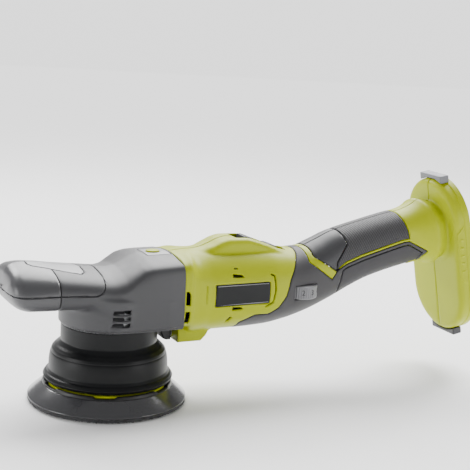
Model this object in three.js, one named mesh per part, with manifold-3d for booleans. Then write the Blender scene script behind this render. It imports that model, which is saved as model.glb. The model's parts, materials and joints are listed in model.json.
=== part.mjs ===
// Cordless dual action polisher with a 125 mm hook-and-loop backing plate.
// Millimetres, +Z up. The origin lies on the spindle axis, in the plane of the hook face.
// +X runs from the spindle towards the battery foot, and the tool is symmetric about y = 0
// apart from the speed dial, the name plate and the eccentric plate.

import * as THREE from 'three';
import { mergeVertices } from 'three/addons/utils/BufferGeometryUtils.js';
import Module from 'manifold-3d';

const wasm = await Module();
wasm.setup();

// ---------------------------------------------------------------- driving dimensions

const GAP = 0.3; // air between pieces that touch
const WALL = 2.5; // moulded casing wall
const SKIN = 1.7; // soft overmould layer
const SPLIT = 0.15; // half of the gap between casing halves
const ROUND = 24; // segments of a turned piece
const RING = 20; // points round a lofted section

// backing plate
const PLATE_R = 62.5;
const HOOK_T = 2.6;
const PLATE_RIM = 2.4; // height of the rim above the hook face
const PLATE_TOP = 15.6;
const PLATE_CREST_R = 51;
const PLATE_HUB_R = 18;
const PLATE_HUB_TOP = 21;
const STUD_R = 4;
const ORBIT = 4; // eccentric offset of the plate's axis
const ORBIT_ANGLE = THREE.MathUtils.degToRad(-116.5); // where the eccentric stands at rest

// rubber boot
const BOOT_FOOT_Z = 17;
const BOOT_SKIRT_R = 50.3;
const BOOT_DRUM_R = 46.5;
const BOOT_NECK_R = 38;
const BOOT_SHOULDER_Z = 37;
const BOOT_NECK_Z = 45.5;
const BOOT_WALL = 1.8;

// head and front grip
const COLLAR_Z = 60.5;
const HEAD_R = 40;
const HEAD_BACK = 47;
const HEAD_TOP = 115.3;
const GRIP_TIP = -87;
const GRIP_HALF = 37.5;
const GRIP_TOP = 113.2;
const GRIP_UNDER = 78.5;
const NOSE_BACK = -52;
const SEAM_Z = 92.7;

// motor housing and handle
const MOTOR_Z = 83.5;
const BARREL_R = 33.5;
const HANDLE_HALF = 22;
const LUG_FRONT = 53; // lug under the flange
const LUG_LOW = 42.8;
const HUMP_HALF = 16;
const HUMP_TOP = 125.2;

// battery foot
const FOOT_TILT = THREE.MathUtils.degToRad(11.2);
const FOOT_X = 304.2; // middle of the foot's front face
const FOOT_Z = 99.5;
const FOOT_HALF_HEIGHT = 70;
const FOOT_HALF_WIDTH = 37.5;
const FOOT_DEPTH = 15;
const FOOT_WALL = 3.2;
const FOOT_FLOOR = 4; // the seat lies this far behind the front face
const STEM_HALF = 14; // half the side of the battery stem's hole

// drive
const CROWN_TEETH = 24;
const PINION_TEETH = 8;
const MESH_OUT = 25.5; // outer end of the teeth, from the spindle axis
const MESH_IN = 16.5;
const SPINDLE_R = 7;
const SPINDLE_TOP_R = 5;
const SHAFT_R = 4;
const LOCK_X = 34;
const LOCK_TRAVEL = 3;
const FAN_R = 26;
const CAN_R = 24.5;
const CAN_T = 4.6;
const CORE_R = 18.4;

// controls
const SWITCH_TILT = THREE.MathUtils.degToRad(19);
const SWITCH_X = 126;
const SWITCH_Z = 119.6;
const SWITCH_TRAVEL = 6;
const DIAL_X = 160;
const DIAL_Y = -18.5;
const DIAL_Z = 81;
const DIAL_R = 13.5;
const DIAL_T = 11;

// fasteners
const SCREW_R = 1.8;
const SCREW_HEAD_R = 3.4;
const SCREW_SEAT = 10; // from the split to the underside of the head
const SCREW_SPOTS = [[66.5, 48.4], [147, 104], [143, 66], [206, 88]]; // x, z
const FLANGE_SPOTS = [[-27, 64.5], [27, 102.5]]; // y, z

// ---------------------------------------------------------------- finishes

const finish = (color, roughness, metalness = 0) => ({ color, roughness, metalness });
const LIME = finish(0xb4bd2e, 0.42);
const GREY = finish(0x6b6b6e, 0.5);
const LIGHT_GREY = finish(0x909093, 0.45);
const DARK_GREY = finish(0x3f3f42, 0.6);
const GRIP_GREY = finish(0x56565a, 0.75);
const RUBBER = finish(0x1b1c1d, 0.6);
const BLACK = finish(0x141414, 0.5);
const STEEL = finish(0xb8babd, 0.35, 1);
const CAST = finish(0xa6a8ab, 0.55, 1);
const COPPER = finish(0xb06a3a, 0.4, 1);
const BRASS = finish(0xc9a24a, 0.35, 1);
const RED = finish(0xa02020, 0.5);

// ---------------------------------------------------------------- solids

/** A closed geometry as a manifold solid. */
function solid(geometry) {
  geometry.deleteAttribute('normal');
  geometry.deleteAttribute('uv');
  const merged = mergeVertices(geometry, 1e-4);
  const vertProperties = new Float32Array(merged.attributes.position.array);
  const triVerts = new Uint32Array(merged.index.array);
  return new wasm.Manifold(new wasm.Mesh({ numProp: 3, vertProperties, triVerts }));
}

/** A manifold solid as a geometry. */
function geometryOf(body) {
  const mesh = body.getMesh();
  const geometry = new THREE.BufferGeometry();
  geometry.setAttribute('position', new THREE.BufferAttribute(mesh.vertProperties, 3));
  geometry.setIndex(new THREE.BufferAttribute(mesh.triVerts, 1));
  return geometry;
}

const join = (...bodies) => bodies.reduce((sum, body) => sum.add(body));
const cut = (body, ...tools) => tools.reduce((rest, tool) => rest.subtract(tool), body);

/** A box between two corners. */
function block([x0, y0, z0], [x1, y1, z1]) {
  const geometry = new THREE.BoxGeometry(x1 - x0, y1 - y0, z1 - z0);
  geometry.translate((x0 + x1) / 2, (y0 + y1) / 2, (z0 + z1) / 2);
  return solid(geometry);
}

/** A round bar about an axis ('x', 'y' or 'z') from a to b, through the point at. */
function bar(axis, radius, a, b, at = [0, 0, 0], segments = 24) {
  const geometry = new THREE.CylinderGeometry(radius, radius, b - a, segments);
  geometry.translate(0, (a + b) / 2, 0);
  if (axis === 'x') geometry.rotateZ(-Math.PI / 2);
  if (axis === 'z') geometry.rotateX(Math.PI / 2);
  geometry.translate(...at);
  return solid(geometry);
}

/** A turned solid about +Z from its closed profile of [radius, height] points. */
function turned(profile, segments = ROUND) {
  const points = [...profile, profile[0]].map(([r, z]) => new THREE.Vector2(r, z));
  const onAxis = profile[0][0] === 0;
  const geometry = new THREE.LatheGeometry(onAxis ? points.slice(0, -1) : points, segments);
  geometry.rotateX(Math.PI / 2);
  return solid(geometry);
}

/** A washer-like ring about +Z. */
function ring(inner, outer, z0, z1, segments = ROUND) {
  return turned([[inner, z0], [outer, z0], [outer, z1], [inner, z1]], segments);
}

/** An outline of [x, z] points carried along Y from y0 to y1. */
function sidePrism(outline, y0, y1) {
  const shape = new THREE.Shape(outline.map(([x, z]) => new THREE.Vector2(x, z)));
  const geometry = new THREE.ExtrudeGeometry(shape, { depth: y1 - y0, bevelEnabled: false });
  geometry.rotateX(Math.PI / 2);
  geometry.translate(0, y1, 0);
  return solid(geometry);
}

/** An outline of [x, y] points carried along Z from z0 to z1. */
function planPrism(outline, z0, z1) {
  const shape = new THREE.Shape(outline.map(([x, y]) => new THREE.Vector2(x, y)));
  const geometry = new THREE.ExtrudeGeometry(shape, { depth: z1 - z0, bevelEnabled: false });
  geometry.translate(0, 0, z0);
  return solid(geometry);
}

/** A skin over equal rings of points, closed by a fan at each end. */
function skinned(rings) {
  const count = rings[0].length;
  const points = rings.flat();
  const index = [];
  for (let i = 0; i + 1 < rings.length; i += 1) {
    for (let j = 0; j < count; j += 1) {
      const a = i * count + j;
      const b = i * count + ((j + 1) % count);
      index.push(a, b, a + count, b, b + count, a + count);
    }
  }
  const sumOf = (loop) => loop.reduce((sum, p) => sum.add(p), new THREE.Vector3());
  const middle = (loop) => sumOf(loop).divideScalar(count);
  const last = (rings.length - 1) * count;
  points.push(middle(rings[0]), middle(rings.at(-1)));
  for (let j = 0; j < count; j += 1) {
    const k = (j + 1) % count;
    index.push(points.length - 2, k, j);
    index.push(points.length - 1, last + j, last + k);
  }
  const geometry = new THREE.BufferGeometry().setFromPoints(points);
  geometry.setIndex(index);
  return solid(geometry);
}

/** One superellipse section at a station {x, low, high, half, power, lean}, grown by grow. */
function section({ x, low, high, half, power, lean = 0 }, grow) {
  const middle = (low + high) / 2;
  const rise = (high - low) / 2 + grow;
  const loop = [];
  for (let j = 0; j < RING; j += 1) {
    const angle = (2 * Math.PI * (j + 0.5)) / RING;
    const c = Math.cos(angle);
    const s = Math.sin(angle);
    const y = (half + grow) * Math.sign(c) * Math.abs(c) ** (2 / power);
    const up = rise * Math.sign(s) * Math.abs(s) ** (2 / power);
    loop.push(new THREE.Vector3(x - up * Math.sin(lean), y, middle + up * Math.cos(lean)));
  }
  return loop;
}

/** A loft through superellipse stations, every section grown by grow. */
const loft = (stations, grow = 0) => skinned(stations.map((station) => section(station, grow)));

/** Stations from rows of [x, low, high, half, power, lean]. */
const stationsOf = (rows) => rows.map(([x, low, high, half, power, lean]) => (
  { x, low, high, half, power, lean }));

/** Moves the first and last station of a list outwards or inwards along X. */
function withEnds(stations, front, back) {
  const list = stations.map((station) => ({ ...station }));
  list[0].x += front;
  list.at(-1).x += back;
  return list;
}

/** A round wire of the given radius along a smooth curve through points. */
function wire(radius, points, steps, sides = 6) {
  const curve = new THREE.CatmullRomCurve3(points.map((p) => new THREE.Vector3(...p)));
  const shape = new THREE.Shape();
  for (let i = 0; i < sides; i += 1) {
    const angle = (2 * Math.PI * i) / sides;
    const move = i === 0 ? 'moveTo' : 'lineTo';
    shape[move](radius * Math.cos(angle), radius * Math.sin(angle));
  }
  return solid(new THREE.ExtrudeGeometry(shape, { steps, extrudePath: curve, bevelEnabled: false }));
}

// ---------------------------------------------------------------- the object's outer shapes

const BIG = 400;
const left = (body) => body.intersect(block([-BIG, -BIG, -BIG], [BIG, -SPLIT, BIG]));
const right = (body) => body.intersect(block([-BIG, SPLIT, -BIG], [BIG, BIG, BIG]));
const HEAD_MID = (GRIP_UNDER + HEAD_TOP) / 2;

// front grip and head, seen along X
const headStations = stationsOf([
  [GRIP_TIP, GRIP_UNDER + 13, GRIP_TOP - 10.7, GRIP_HALF - 16, 2.6],
  [GRIP_TIP + 1.5, GRIP_UNDER + 8.5, GRIP_TOP - 6.5, GRIP_HALF - 9, 3],
  [GRIP_TIP + 4.5, GRIP_UNDER + 4.2, GRIP_TOP - 2.6, GRIP_HALF - 4.5, 3.4],
  [GRIP_TIP + 9, GRIP_UNDER + 1.6, GRIP_TOP - 0.6, GRIP_HALF - 1.8, 3.8],
  [GRIP_TIP + 15, GRIP_UNDER + 0.3, GRIP_TOP, GRIP_HALF - 0.6, 4],
  [-60, GRIP_UNDER, GRIP_TOP - 0.9, GRIP_HALF, 4],
  [-42, GRIP_UNDER, GRIP_TOP - 3.6, GRIP_HALF + 0.4, 4],
  [-28, GRIP_UNDER, GRIP_TOP - 5.2, GRIP_HALF + 1, 3.8],
  [-16, GRIP_UNDER - 4, GRIP_TOP - 6.3, HEAD_R - 0.8, 3.5],
  [-7, COLLAR_Z + 8, GRIP_TOP - 7, HEAD_R - 0.3, 3.4],
  [1, COLLAR_Z + 5.6, GRIP_TOP - 6.4, HEAD_R, 3.4],
  [8, COLLAR_Z + 3.6, GRIP_TOP - 3.2, HEAD_R, 3.4],
  [15, COLLAR_Z + 2.4, HEAD_TOP - 2, HEAD_R, 3.5],
  [22, COLLAR_Z + 1.6, HEAD_TOP, HEAD_R, 3.6],
  [32, COLLAR_Z + 1, HEAD_TOP + 0.3, HEAD_R - 0.3, 3.7],
  [HEAD_BACK, COLLAR_Z + 1, HEAD_TOP + 0.4, HEAD_R - 1.5, 3.8],
]);

/** The collar's plan: a half circle in front with straight sides to the back. */
function collarPlan(grow, back) {
  const points = [];
  for (let i = 0; i <= 20; i += 1) {
    const angle = Math.PI / 2 + (Math.PI * i) / 20;
    points.push([(HEAD_R + grow) * Math.cos(angle), (HEAD_R + grow) * Math.sin(angle)]);
  }
  const tail = HEAD_R - 1.5 + grow;
  const bend = back - 14; // where the sides start to draw in
  return [...points, [bend, -HEAD_R - grow], [back, -tail], [back, tail], [bend, HEAD_R + grow]];
}

const collarTop = COLLAR_Z + 24;
const headOuter = join(loft(headStations), planPrism(collarPlan(0, HEAD_BACK), COLLAR_Z, collarTop));
const headInner = join(
  loft(withEnds(headStations, WALL, 2), -WALL),
  planPrism(collarPlan(-WALL, HEAD_BACK + 2), COLLAR_Z - 2, collarTop),
);
const headShell = headOuter.subtract(headInner);

// motor housing and handle, seen along X; the last stations flare into the foot
const housingStations = stationsOf([
  [HEAD_BACK + GAP, COLLAR_Z - 2, HEAD_TOP, HEAD_R - 2.5, 3.8],
  [LUG_FRONT - 0.5, COLLAR_Z - 2, HEAD_TOP + 0.4, BARREL_R + 4, 3.7],
  [LUG_FRONT, MOTOR_Z - BARREL_R - 1.5, HEAD_TOP + 0.4, BARREL_R + 4, 3.6],
  [65, MOTOR_Z - BARREL_R - 0.5, MOTOR_Z + BARREL_R - 0.7, BARREL_R + 1.8, 2.6],
  [74, MOTOR_Z - BARREL_R, MOTOR_Z + BARREL_R, BARREL_R + 0.3, 2.3],
  [104, MOTOR_Z - BARREL_R, MOTOR_Z + BARREL_R, BARREL_R, 2.2],
  [128, 51, MOTOR_Z + BARREL_R - 0.5, BARREL_R - 0.4, 2.2],
  [144, 53.5, 114.6, BARREL_R - 2.3, 2.25],
  [156, 56.3, 113.2, HANDLE_HALF + 7, 2.3],
  [168, 59.8, 114.2, HANDLE_HALF + 4.2, 2.4],
  [180, 64.2, 118.6, HANDLE_HALF + 2.3, 2.5],
  [194, 70, 124.8, HANDLE_HALF + 1, 2.5],
  [210, 77.6, 129.6, HANDLE_HALF, 2.5],
  [226, 84.2, 133.6, HANDLE_HALF - 0.3, 2.5],
  [242, 89, 137.4, HANDLE_HALF, 2.5],
  [258, 93, 140.8, HANDLE_HALF + 0.6, 2.5],
  [270, 95.6, 143.2, HANDLE_HALF + 1.6, 2.5, FOOT_TILT * 0.2],
  [281, 94, 147.4, HANDLE_HALF + 4, 2.4, FOOT_TILT * 0.5],
  [289.5, 87, 154.5, HANDLE_HALF + 7.6, 2.3, FOOT_TILT * 0.8],
  [296, 76, 160.5, HANDLE_HALF + 11, 2.3, FOOT_TILT],
  [FOOT_X + 1, FOOT_Z - 42, FOOT_Z + 62, FOOT_HALF_WIDTH - 3.5, 2.3, FOOT_TILT],
]);

/** A shape drawn about the foot's front face: x is depth, z runs up the face. */
function onFoot(geometry) {
  geometry.rotateY(-FOOT_TILT);
  geometry.translate(FOOT_X, 0, FOOT_Z);
  return solid(geometry);
}

/** An upright oblong with round ends at a depth, inset from the foot's outline. */
function footRing(depth, inset) {
  const radius = FOOT_HALF_WIDTH - inset;
  const straight = FOOT_HALF_HEIGHT - FOOT_HALF_WIDTH;
  const loop = [];
  for (let j = 0; j < RING; j += 1) {
    const angle = (2 * Math.PI * (j + 0.5)) / RING;
    const up = radius * Math.sin(angle) + Math.sign(Math.sin(angle)) * straight;
    const c = Math.cos(FOOT_TILT);
    const s = Math.sin(FOOT_TILT);
    const x = FOOT_X + depth * c - up * s;
    loop.push(new THREE.Vector3(x, radius * Math.cos(angle), FOOT_Z + depth * s + up * c));
  }
  return loop;
}

/** A box in the foot's own frame: depth, width and height ranges. */
function footBlock([d0, d1], half, [u0, u1]) {
  const geometry = new THREE.BoxGeometry(d1 - d0, 2 * half, u1 - u0);
  geometry.translate((d0 + d1) / 2, 0, (u0 + u1) / 2);
  return onFoot(geometry);
}

const footOuter = skinned([
  footRing(0, 7), footRing(1.6, 3), footRing(4.4, 0.7), footRing(8, 0), footRing(FOOT_DEPTH, 0),
]);
const footRecess = skinned([footRing(FOOT_FLOOR, FOOT_WALL), footRing(FOOT_DEPTH + 3, FOOT_WALL)]);
const STEM_UP = 19; // the stem's hole lies above the middle of the foot
const stemHole = footBlock([-40, FOOT_FLOOR + 1], STEM_HALF, [STEM_UP - STEM_HALF, STEM_UP + STEM_HALF]);

// hump over the motor that carries the power switch
const hump = loft(stationsOf([
  [62, MOTOR_Z + 12, MOTOR_Z + BARREL_R - 3, HUMP_HALF - 5, 3],
  [72, MOTOR_Z + 12, HUMP_TOP - 8.6, HUMP_HALF - 2, 3.4],
  [82, MOTOR_Z + 12, HUMP_TOP - 4.8, HUMP_HALF, 3.6],
  [90, MOTOR_Z + 12, HUMP_TOP - 1.4, HUMP_HALF, 3.8],
  [97, MOTOR_Z + 12, HUMP_TOP, HUMP_HALF, 3.8],
  [111, MOTOR_Z + 12, HUMP_TOP - 0.3, HUMP_HALF, 3.8],
  [120, MOTOR_Z + 12, HUMP_TOP - 2.4, HUMP_HALF, 3.8],
  [142, MOTOR_Z + 12, HUMP_TOP - 10.4, HUMP_HALF - 1, 3.4],
  [150, MOTOR_Z + 12, MOTOR_Z + BARREL_R - 5, HUMP_HALF - 5, 3],
]));

/** A box in the switch's frame: along the slope, its half-width, and above the slope line. */
function onSlope([a0, a1], half, [h0, h1]) {
  const geometry = new THREE.BoxGeometry(a1 - a0, 2 * half, h1 - h0);
  geometry.translate((a0 + a1) / 2, 0, (h0 + h1) / 2);
  geometry.rotateY(SWITCH_TILT);
  geometry.translate(SWITCH_X, 0, SWITCH_Z);
  return solid(geometry);
}

const KNOB_HALF = 8;
const KNOB_REACH = 15.5;
const WELL_DEPTH = 4; // the knob's floor below the slope line
const STEM = [-9, -3]; // the knob's stem, along the slope
const switchWell = onSlope([-24, 22], KNOB_HALF + 3, [-WELL_DEPTH - 2.2, -1]);
const switchChannel = join(
  onSlope([-KNOB_REACH - SWITCH_TRAVEL - 0.6, KNOB_REACH + 0.6], KNOB_HALF + 0.5, [-WELL_DEPTH, 12]),
  onSlope([STEM[0] - SWITCH_TRAVEL - 0.6, STEM[1] + 0.6], 2.6, [-16, 0]),
);

// lug under the front flange that takes the clamp screw
const lugOutline = (grow) => [
  [LUG_FRONT - grow, LUG_LOW - grow], [73, LUG_LOW - grow], [77.5 + grow, LUG_LOW + 4.5],
  [84 + grow, 60], [LUG_FRONT - grow, 60],
];
const LUG_HALF = 15;
const lug = sidePrism(lugOutline(0), -LUG_HALF, LUG_HALF);

/** A vent cut right through both side walls from its side outline. */
const sideVent = (outline) => join(
  sidePrism(outline, -60, -BARREL_R + 6),
  sidePrism(outline, BARREL_R - 6, 60),
);
const housingVents = [
  [[48.8, 79.2], [52.6, 79.2], [52.6, 87.5], [51, 90], [48.8, 90]],
  [[48.8, 63.4], [52.6, 63.4], [52.6, 74], [48.8, 74]],
  [[90.4, 113.2], [93, 113.2], [96.4, 103.8], [93.6, 103.8]],
  [[91.4, 97.8], [101, 97.6], [99.6, 99.6], [91.4, 100.6]],
  [[91.4, 70.8], [100.6, 71.2], [99.4, 73.2], [91.4, 73.6]],
  [[87.8, 60.4], [90.4, 60.4], [93.4, 64.8], [90.6, 64.8]],
].map(sideVent);

// soft regions, seen from the side
const waistOutline = [
  [159, 122], [158.5, 114], [152, 106], [144, 93], [140.5, 80], [134, 70], [126, 65], [113, 65],
  [102, 59], [97, 40], [283, 40], [276, 92], [278, 103.5], [281, 108.5], [262, 118], [256, 117.4],
  [216, 106.3], [200, 101], [192, 96.3], [187, 89], [164.8, 105], [164.6, 122],
];
const gripOutline = [
  [170.5, 160], [170, 109], [191, 95.6], [194, 99], [200, 103.2], [216, 108.7], [256, 119.8],
  [261.7, 120.5], [260, 128.5], [256.6, 138], [255.5, 160],
];

/** The same outline drawn in by a distance, each point along its corner's bisector. */
function drawnIn(outline, distance) {
  const count = outline.length;
  return outline.map(([x, z], i) => {
    const [px, pz] = outline[(i + count - 1) % count];
    const [nx, nz] = outline[(i + 1) % count];
    const before = new THREE.Vector2(x - px, z - pz).normalize();
    const after = new THREE.Vector2(nx - x, nz - z).normalize();
    const normal = new THREE.Vector2(-before.y - after.y, before.x + after.x).normalize();
    const spread = Math.max(0.5, normal.dot(new THREE.Vector2(-before.y, before.x)));
    const step = distance / spread;
    return [x + normal.x * step, z + normal.y * step];
  });
}

const bodyLoft = loft(housingStations);
const outsideBody = loft(housingStations, 4);

/** The recess for a soft region and the region's own layer. */
function overmould(outline) {
  const recess = outsideBody
    .subtract(loft(housingStations, -SKIN - GAP))
    .intersect(sidePrism(outline, -60, 60));
  const layer = bodyLoft
    .subtract(loft(housingStations, -SKIN))
    .intersect(sidePrism(drawnIn(outline, GAP), -60, 60));
  return { recess, layer };
}

const waist = overmould(waistOutline);
const grip = overmould(gripOutline);

// speed dial window
const dialWindow = block(
  [DIAL_X - DIAL_R + 2.2, -60, DIAL_Z - DIAL_T / 2 - 0.6],
  [DIAL_X + DIAL_R - 2.2, DIAL_Y + 2, DIAL_Z + DIAL_T / 2 + 0.6],
);
const dialRoom = bar('z', DIAL_R + 0.6, DIAL_Z - DIAL_T / 2 - 0.6, DIAL_Z + DIAL_T / 2 + 0.6,
  [DIAL_X, DIAL_Y, 0]);

// name plate recess, on the near side only
const PLATE_SPOT = [76, 124, 75.2, 92.8]; // x and z ranges
const LABEL_T = 0.9;
const [labelFront, labelBack, labelLow, labelHigh] = PLATE_SPOT;
const labelBlock = (grow) => block(
  [labelFront - grow, -60, labelLow - grow],
  [labelBack + grow, -10, labelHigh + grow],
);

// ---------------------------------------------------------------- casings

const node = new Map();
const add = (name, body, look) => node.set(name, { body, look });

/** A screw boss that spans both halves, and the holes for its screw. */
const boss = ([x, z]) => bar('y', SCREW_HEAD_R + 1.8, -60, 60, [x, 0, z], 12);
const bossHoles = ([x, z]) => join(
  bar('y', SCREW_R + GAP, -10.6, SCREW_SEAT + 1, [x, 0, z], 10),
  bar('y', SCREW_HEAD_R + 0.5, SCREW_SEAT, 60, [x, 0, z], 12),
);
const flangeBoss = ([y, z]) => bar('x', 4.4, HEAD_BACK + GAP, 60, [0, y, z], 10);
const flangeHole = ([y, z]) => bar('x', SCREW_R + GAP, HEAD_BACK - 1, 57.6, [0, y, z], 10);

const SOFT_FRONT = 98; // the wall is thicker behind here, where soft layers are let into it
const RIBS = [64, 104]; // x of the ribs that hold the motor
const RIB_T = 2.4;

/** The hollow inside both casing halves. */
function casingRoom() {
  const long = withEnds(housingStations, -2, -2);
  const front = loft(long, -WALL).intersect(block([0, -60, 0], [SOFT_FRONT, 60, BIG]));
  const back = loft(long, -WALL - SKIN - GAP);
  const inLug = sidePrism(lugOutline(0).map(([x, z]) => [x, z + 4]), -LUG_HALF + WALL, LUG_HALF - WALL)
    .intersect(block([LUG_FRONT + WALL, -40, LUG_LOW + WALL], [80, 40, 60]));
  return join(front, back, inLug);
}

function housing() {
  const casing = join(bodyLoft, hump, lug, footOuter);
  const ribs = RIBS.map((x) => bar('x', BARREL_R - 1, x, x + RIB_T, [0, 0, MOTOR_Z], 24));
  const full = join(
    casing.subtract(casingRoom()),
    switchWell,
    ...ribs.map((rib) => rib.intersect(bodyLoft)),
    ...SCREW_SPOTS.map((spot) => boss(spot).intersect(casing)),
    ...FLANGE_SPOTS.map((spot) => flangeBoss(spot).intersect(bodyLoft)),
  );
  const motorRoom = bar('x', CAN_R + GAP + 0.4, 50, 140, [0, 0, MOTOR_Z], 28);
  return cut(full, motorRoom, switchChannel, footRecess, stemHole, waist.recess, grip.recess,
    dialWindow, dialRoom, labelRecess, clampScrewHole, ...housingVents,
    ...SCREW_SPOTS.map(bossHoles), ...FLANGE_SPOTS.map(flangeHole));
}

// clamp block behind the boot and its screw into the lug
const CLAMP_Z = 47.5;
const FLANGE_LOW = 58.5; // bottom of the flange where the gear case meets the housing
const CLAMP_SCREW_R = 2.6;
const clampScrewHole = bar('x', CLAMP_SCREW_R + GAP, LUG_FRONT - 3, LUG_FRONT + 5, [0, 0, CLAMP_Z], 16);
const clampFront = BOOT_NECK_R + 3.6;
const clampBlock = cut(
  sidePrism([
    [clampFront, FLANGE_LOW - GAP], [clampFront, 50], [clampFront + 2, CLAMP_Z - 3],
    [clampFront + 5, CLAMP_Z - 4], [50, CLAMP_Z - 4], [50, FLANGE_LOW - GAP],
  ], -7, 7),
  bar('x', CLAMP_SCREW_R + GAP, clampFront + 2, 60, [0, 0, CLAMP_Z], 16),
);
const clampScrew = bar('x', CLAMP_SCREW_R, clampFront + 3, LUG_FRONT + 4.4, [0, 0, CLAMP_Z], 16);

// the name plate follows the wall it sits on
const labelRecess = outsideBody
  .subtract(loft(housingStations, -LABEL_T - GAP))
  .intersect(labelBlock(GAP));
const label = bodyLoft.subtract(loft(housingStations, -LABEL_T)).intersect(labelBlock(0));

const casing = housing();
add('housing_left', left(casing), LIME);
add('housing_right', right(casing), LIME);
const dialCut = block(
  [DIAL_X - DIAL_R - 0.5, -60, DIAL_Z - DIAL_T / 2 - 1],
  [DIAL_X + DIAL_R + 0.5, -5, DIAL_Z + DIAL_T / 2 + 1],
);
for (const [side, half] of [['left', left], ['right', right]]) {
  const holes = SCREW_SPOTS.map(([x, z]) => bar('y', SCREW_HEAD_R + 0.9, 5, 60, [x, 0, z], 16));
  add(`waist_overmould_${side}`, half(cut(waist.layer, dialCut, ...holes)), GREY);
  add(`upper_grip_${side}`, half(grip.layer), GRIP_GREY);
}
add('name_plate', label, BLACK);
add('clamp_block', clampBlock, BLACK);
add('clamp_screw', clampScrew, STEEL);

// rubber bumpers on the foot's two ends
function bumper(u0, u1, half, d0, d1) {
  return footBlock([d0, d1], half, [u0, u1]).subtract(skinned([
    footRing(-6, -GAP), footRing(FOOT_DEPTH + 8, -GAP),
  ]));
}
add('foot_bumper_top', bumper(FOOT_HALF_HEIGHT - 6, FOOT_HALF_HEIGHT + 3.4, 15.5, 3, 12), DARK_GREY);
add('foot_bumper_bottom', bumper(-FOOT_HALF_HEIGHT - 3, -FOOT_HALF_HEIGHT + 6, 16.4, 3, 12), DARK_GREY);

// head cover, nose caps and the front grip's cover
const coverOutline = [
  [NOSE_BACK + GAP, SEAM_Z], [-26, SEAM_Z - 1.2], [-20.5, SEAM_Z + 0.7], [-17, SEAM_Z + 4.8],
  [-14.6, SEAM_Z + 10.3], [-15.4, SEAM_Z + 18], [-17.5, 130], [NOSE_BACK + GAP, 130],
];
const noseBlock = (z0, z1) => block([GRIP_TIP - 5, -60, z0], [NOSE_BACK, 60, z1]);
const inlayPlan = (grow) => [
  [-69 - grow, 6], [-69 - grow, -6], [-66, -9.5 - grow], [-31, -20 - grow], [-27 + grow, -15],
  [-26 + grow, 0], [-27 + grow, 15], [-31, 20 + grow], [-66, 9.5 + grow],
];
const INLAY_T = 1.3;
const inlayRecess = loft(headStations, 3)
  .subtract(loft(withEnds(headStations, 1, 0), -INLAY_T - GAP))
  .intersect(planPrism(inlayPlan(GAP), HEAD_MID + 6, 140));
const inlay = loft(headStations)
  .subtract(loft(withEnds(headStations, 1, 0), -INLAY_T))
  .intersect(planPrism(inlayPlan(0), HEAD_MID + 6, 140));

const headVents = [77.9, 72.8, 67.6].map((z) => join(
  block([-12.1, -60, z - 1.5], [2.3, -HEAD_R + 6, z + 1.5]),
  block([-12.1, HEAD_R - 6, z - 1.5], [2.3, 60, z + 1.5]),
));

const PANEL = [25.5, 45.5]; // x range of the top panel
const PANEL_HALF = 11;
const PANEL_T = 1.1;
const panelZone = (grow) => block(
  [PANEL[0] - grow, -PANEL_HALF - grow, HEAD_MID + 6],
  [PANEL[1] + grow, PANEL_HALF + grow, 140],
);
const panelRecess = loft(headStations, 3)
  .subtract(loft(headStations, -PANEL_T - GAP))
  .intersect(panelZone(GAP));
const BUTTON_HALF_X = 5.6;
const BUTTON_HALF_Y = 4.8;

/** An oval bar about +Z at the lock button. */
function oval(grow, z0, z1) {
  const geometry = new THREE.CylinderGeometry(1, 1, z1 - z0, 24);
  geometry.translate(0, (z0 + z1) / 2, 0);
  geometry.rotateX(Math.PI / 2);
  geometry.scale(BUTTON_HALF_X + grow, BUTTON_HALF_Y + grow, 1);
  geometry.translate(LOCK_X, 0, 0);
  return solid(geometry);
}

const panel = cut(
  loft(headStations).subtract(loft(headStations, -PANEL_T)).intersect(panelZone(0)),
  oval(GAP, HEAD_MID, 140),
);
const coverZone = sidePrism(drawnIn(coverOutline, -GAP), -60, 60);
const headRegion = block([NOSE_BACK + GAP, -60, 0], [HEAD_BACK, 60, 140]);
add('head_cover', cut(headShell.intersect(headRegion), coverZone, panelRecess, inlayRecess,
  oval(GAP, 90, 140), ...headVents), GREY);
add('front_grip_cover', cut(headShell.intersect(sidePrism(coverOutline, -60, 60)), inlayRecess), GREY);
add('nose_cap_upper', cut(headShell.intersect(noseBlock(SEAM_Z + GAP, 140)), inlayRecess), GREY);
add('nose_cap_lower', headShell.intersect(noseBlock(0, SEAM_Z)), GREY);
add('grip_inlay', inlay, LIGHT_GREY);
add('head_top_panel', panel, LIGHT_GREY);

// boot: one moulded rubber sleeve from the collar to the skirt
function boot() {
  const outer = [
    [BOOT_SKIRT_R, BOOT_FOOT_Z], [BOOT_SKIRT_R, BOOT_FOOT_Z + 1.6],
    [BOOT_DRUM_R + 1, BOOT_FOOT_Z + 4.6], [BOOT_DRUM_R, BOOT_FOOT_Z + 6.4],
    [BOOT_DRUM_R, BOOT_SHOULDER_Z - 2], [BOOT_DRUM_R - 1.4, BOOT_SHOULDER_Z + 2],
    [BOOT_NECK_R + 3.4, BOOT_NECK_Z - 2.4], [BOOT_NECK_R, BOOT_NECK_Z + 0.6], [BOOT_NECK_R, COLLAR_Z - GAP],
  ];
  const inner = outer.map(([r, z]) => [r - BOOT_WALL, z]).reverse();
  inner[inner.length - 1][0] = BOOT_SKIRT_R - BOOT_WALL - 1;
  return turned([...outer, ...inner], 26);
}
add('rubber_boot', boot(), RUBBER);

// ---------------------------------------------------------------- gear case

const CASE_R = BOOT_NECK_R - BOOT_WALL - GAP;
const UPPER_SEAT = [92, 99]; // z range of the upper spindle bearing
const LOWER_SEAT = [52, 61];
const UPPER_BEARING_R = 13;
const LOWER_BEARING_R = 17.5;
const FRONT_SEAT = [38.9, 45.9]; // x range of the pinion bearing
const FRONT_BEARING_R = 11;
const COLLAR = [30.5, 37.5]; // x range of the lock collar
const COLLAR_R = 7.5;
const FLANGE_T = 3.6;
const SNOUT_R = 14.5;

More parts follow.
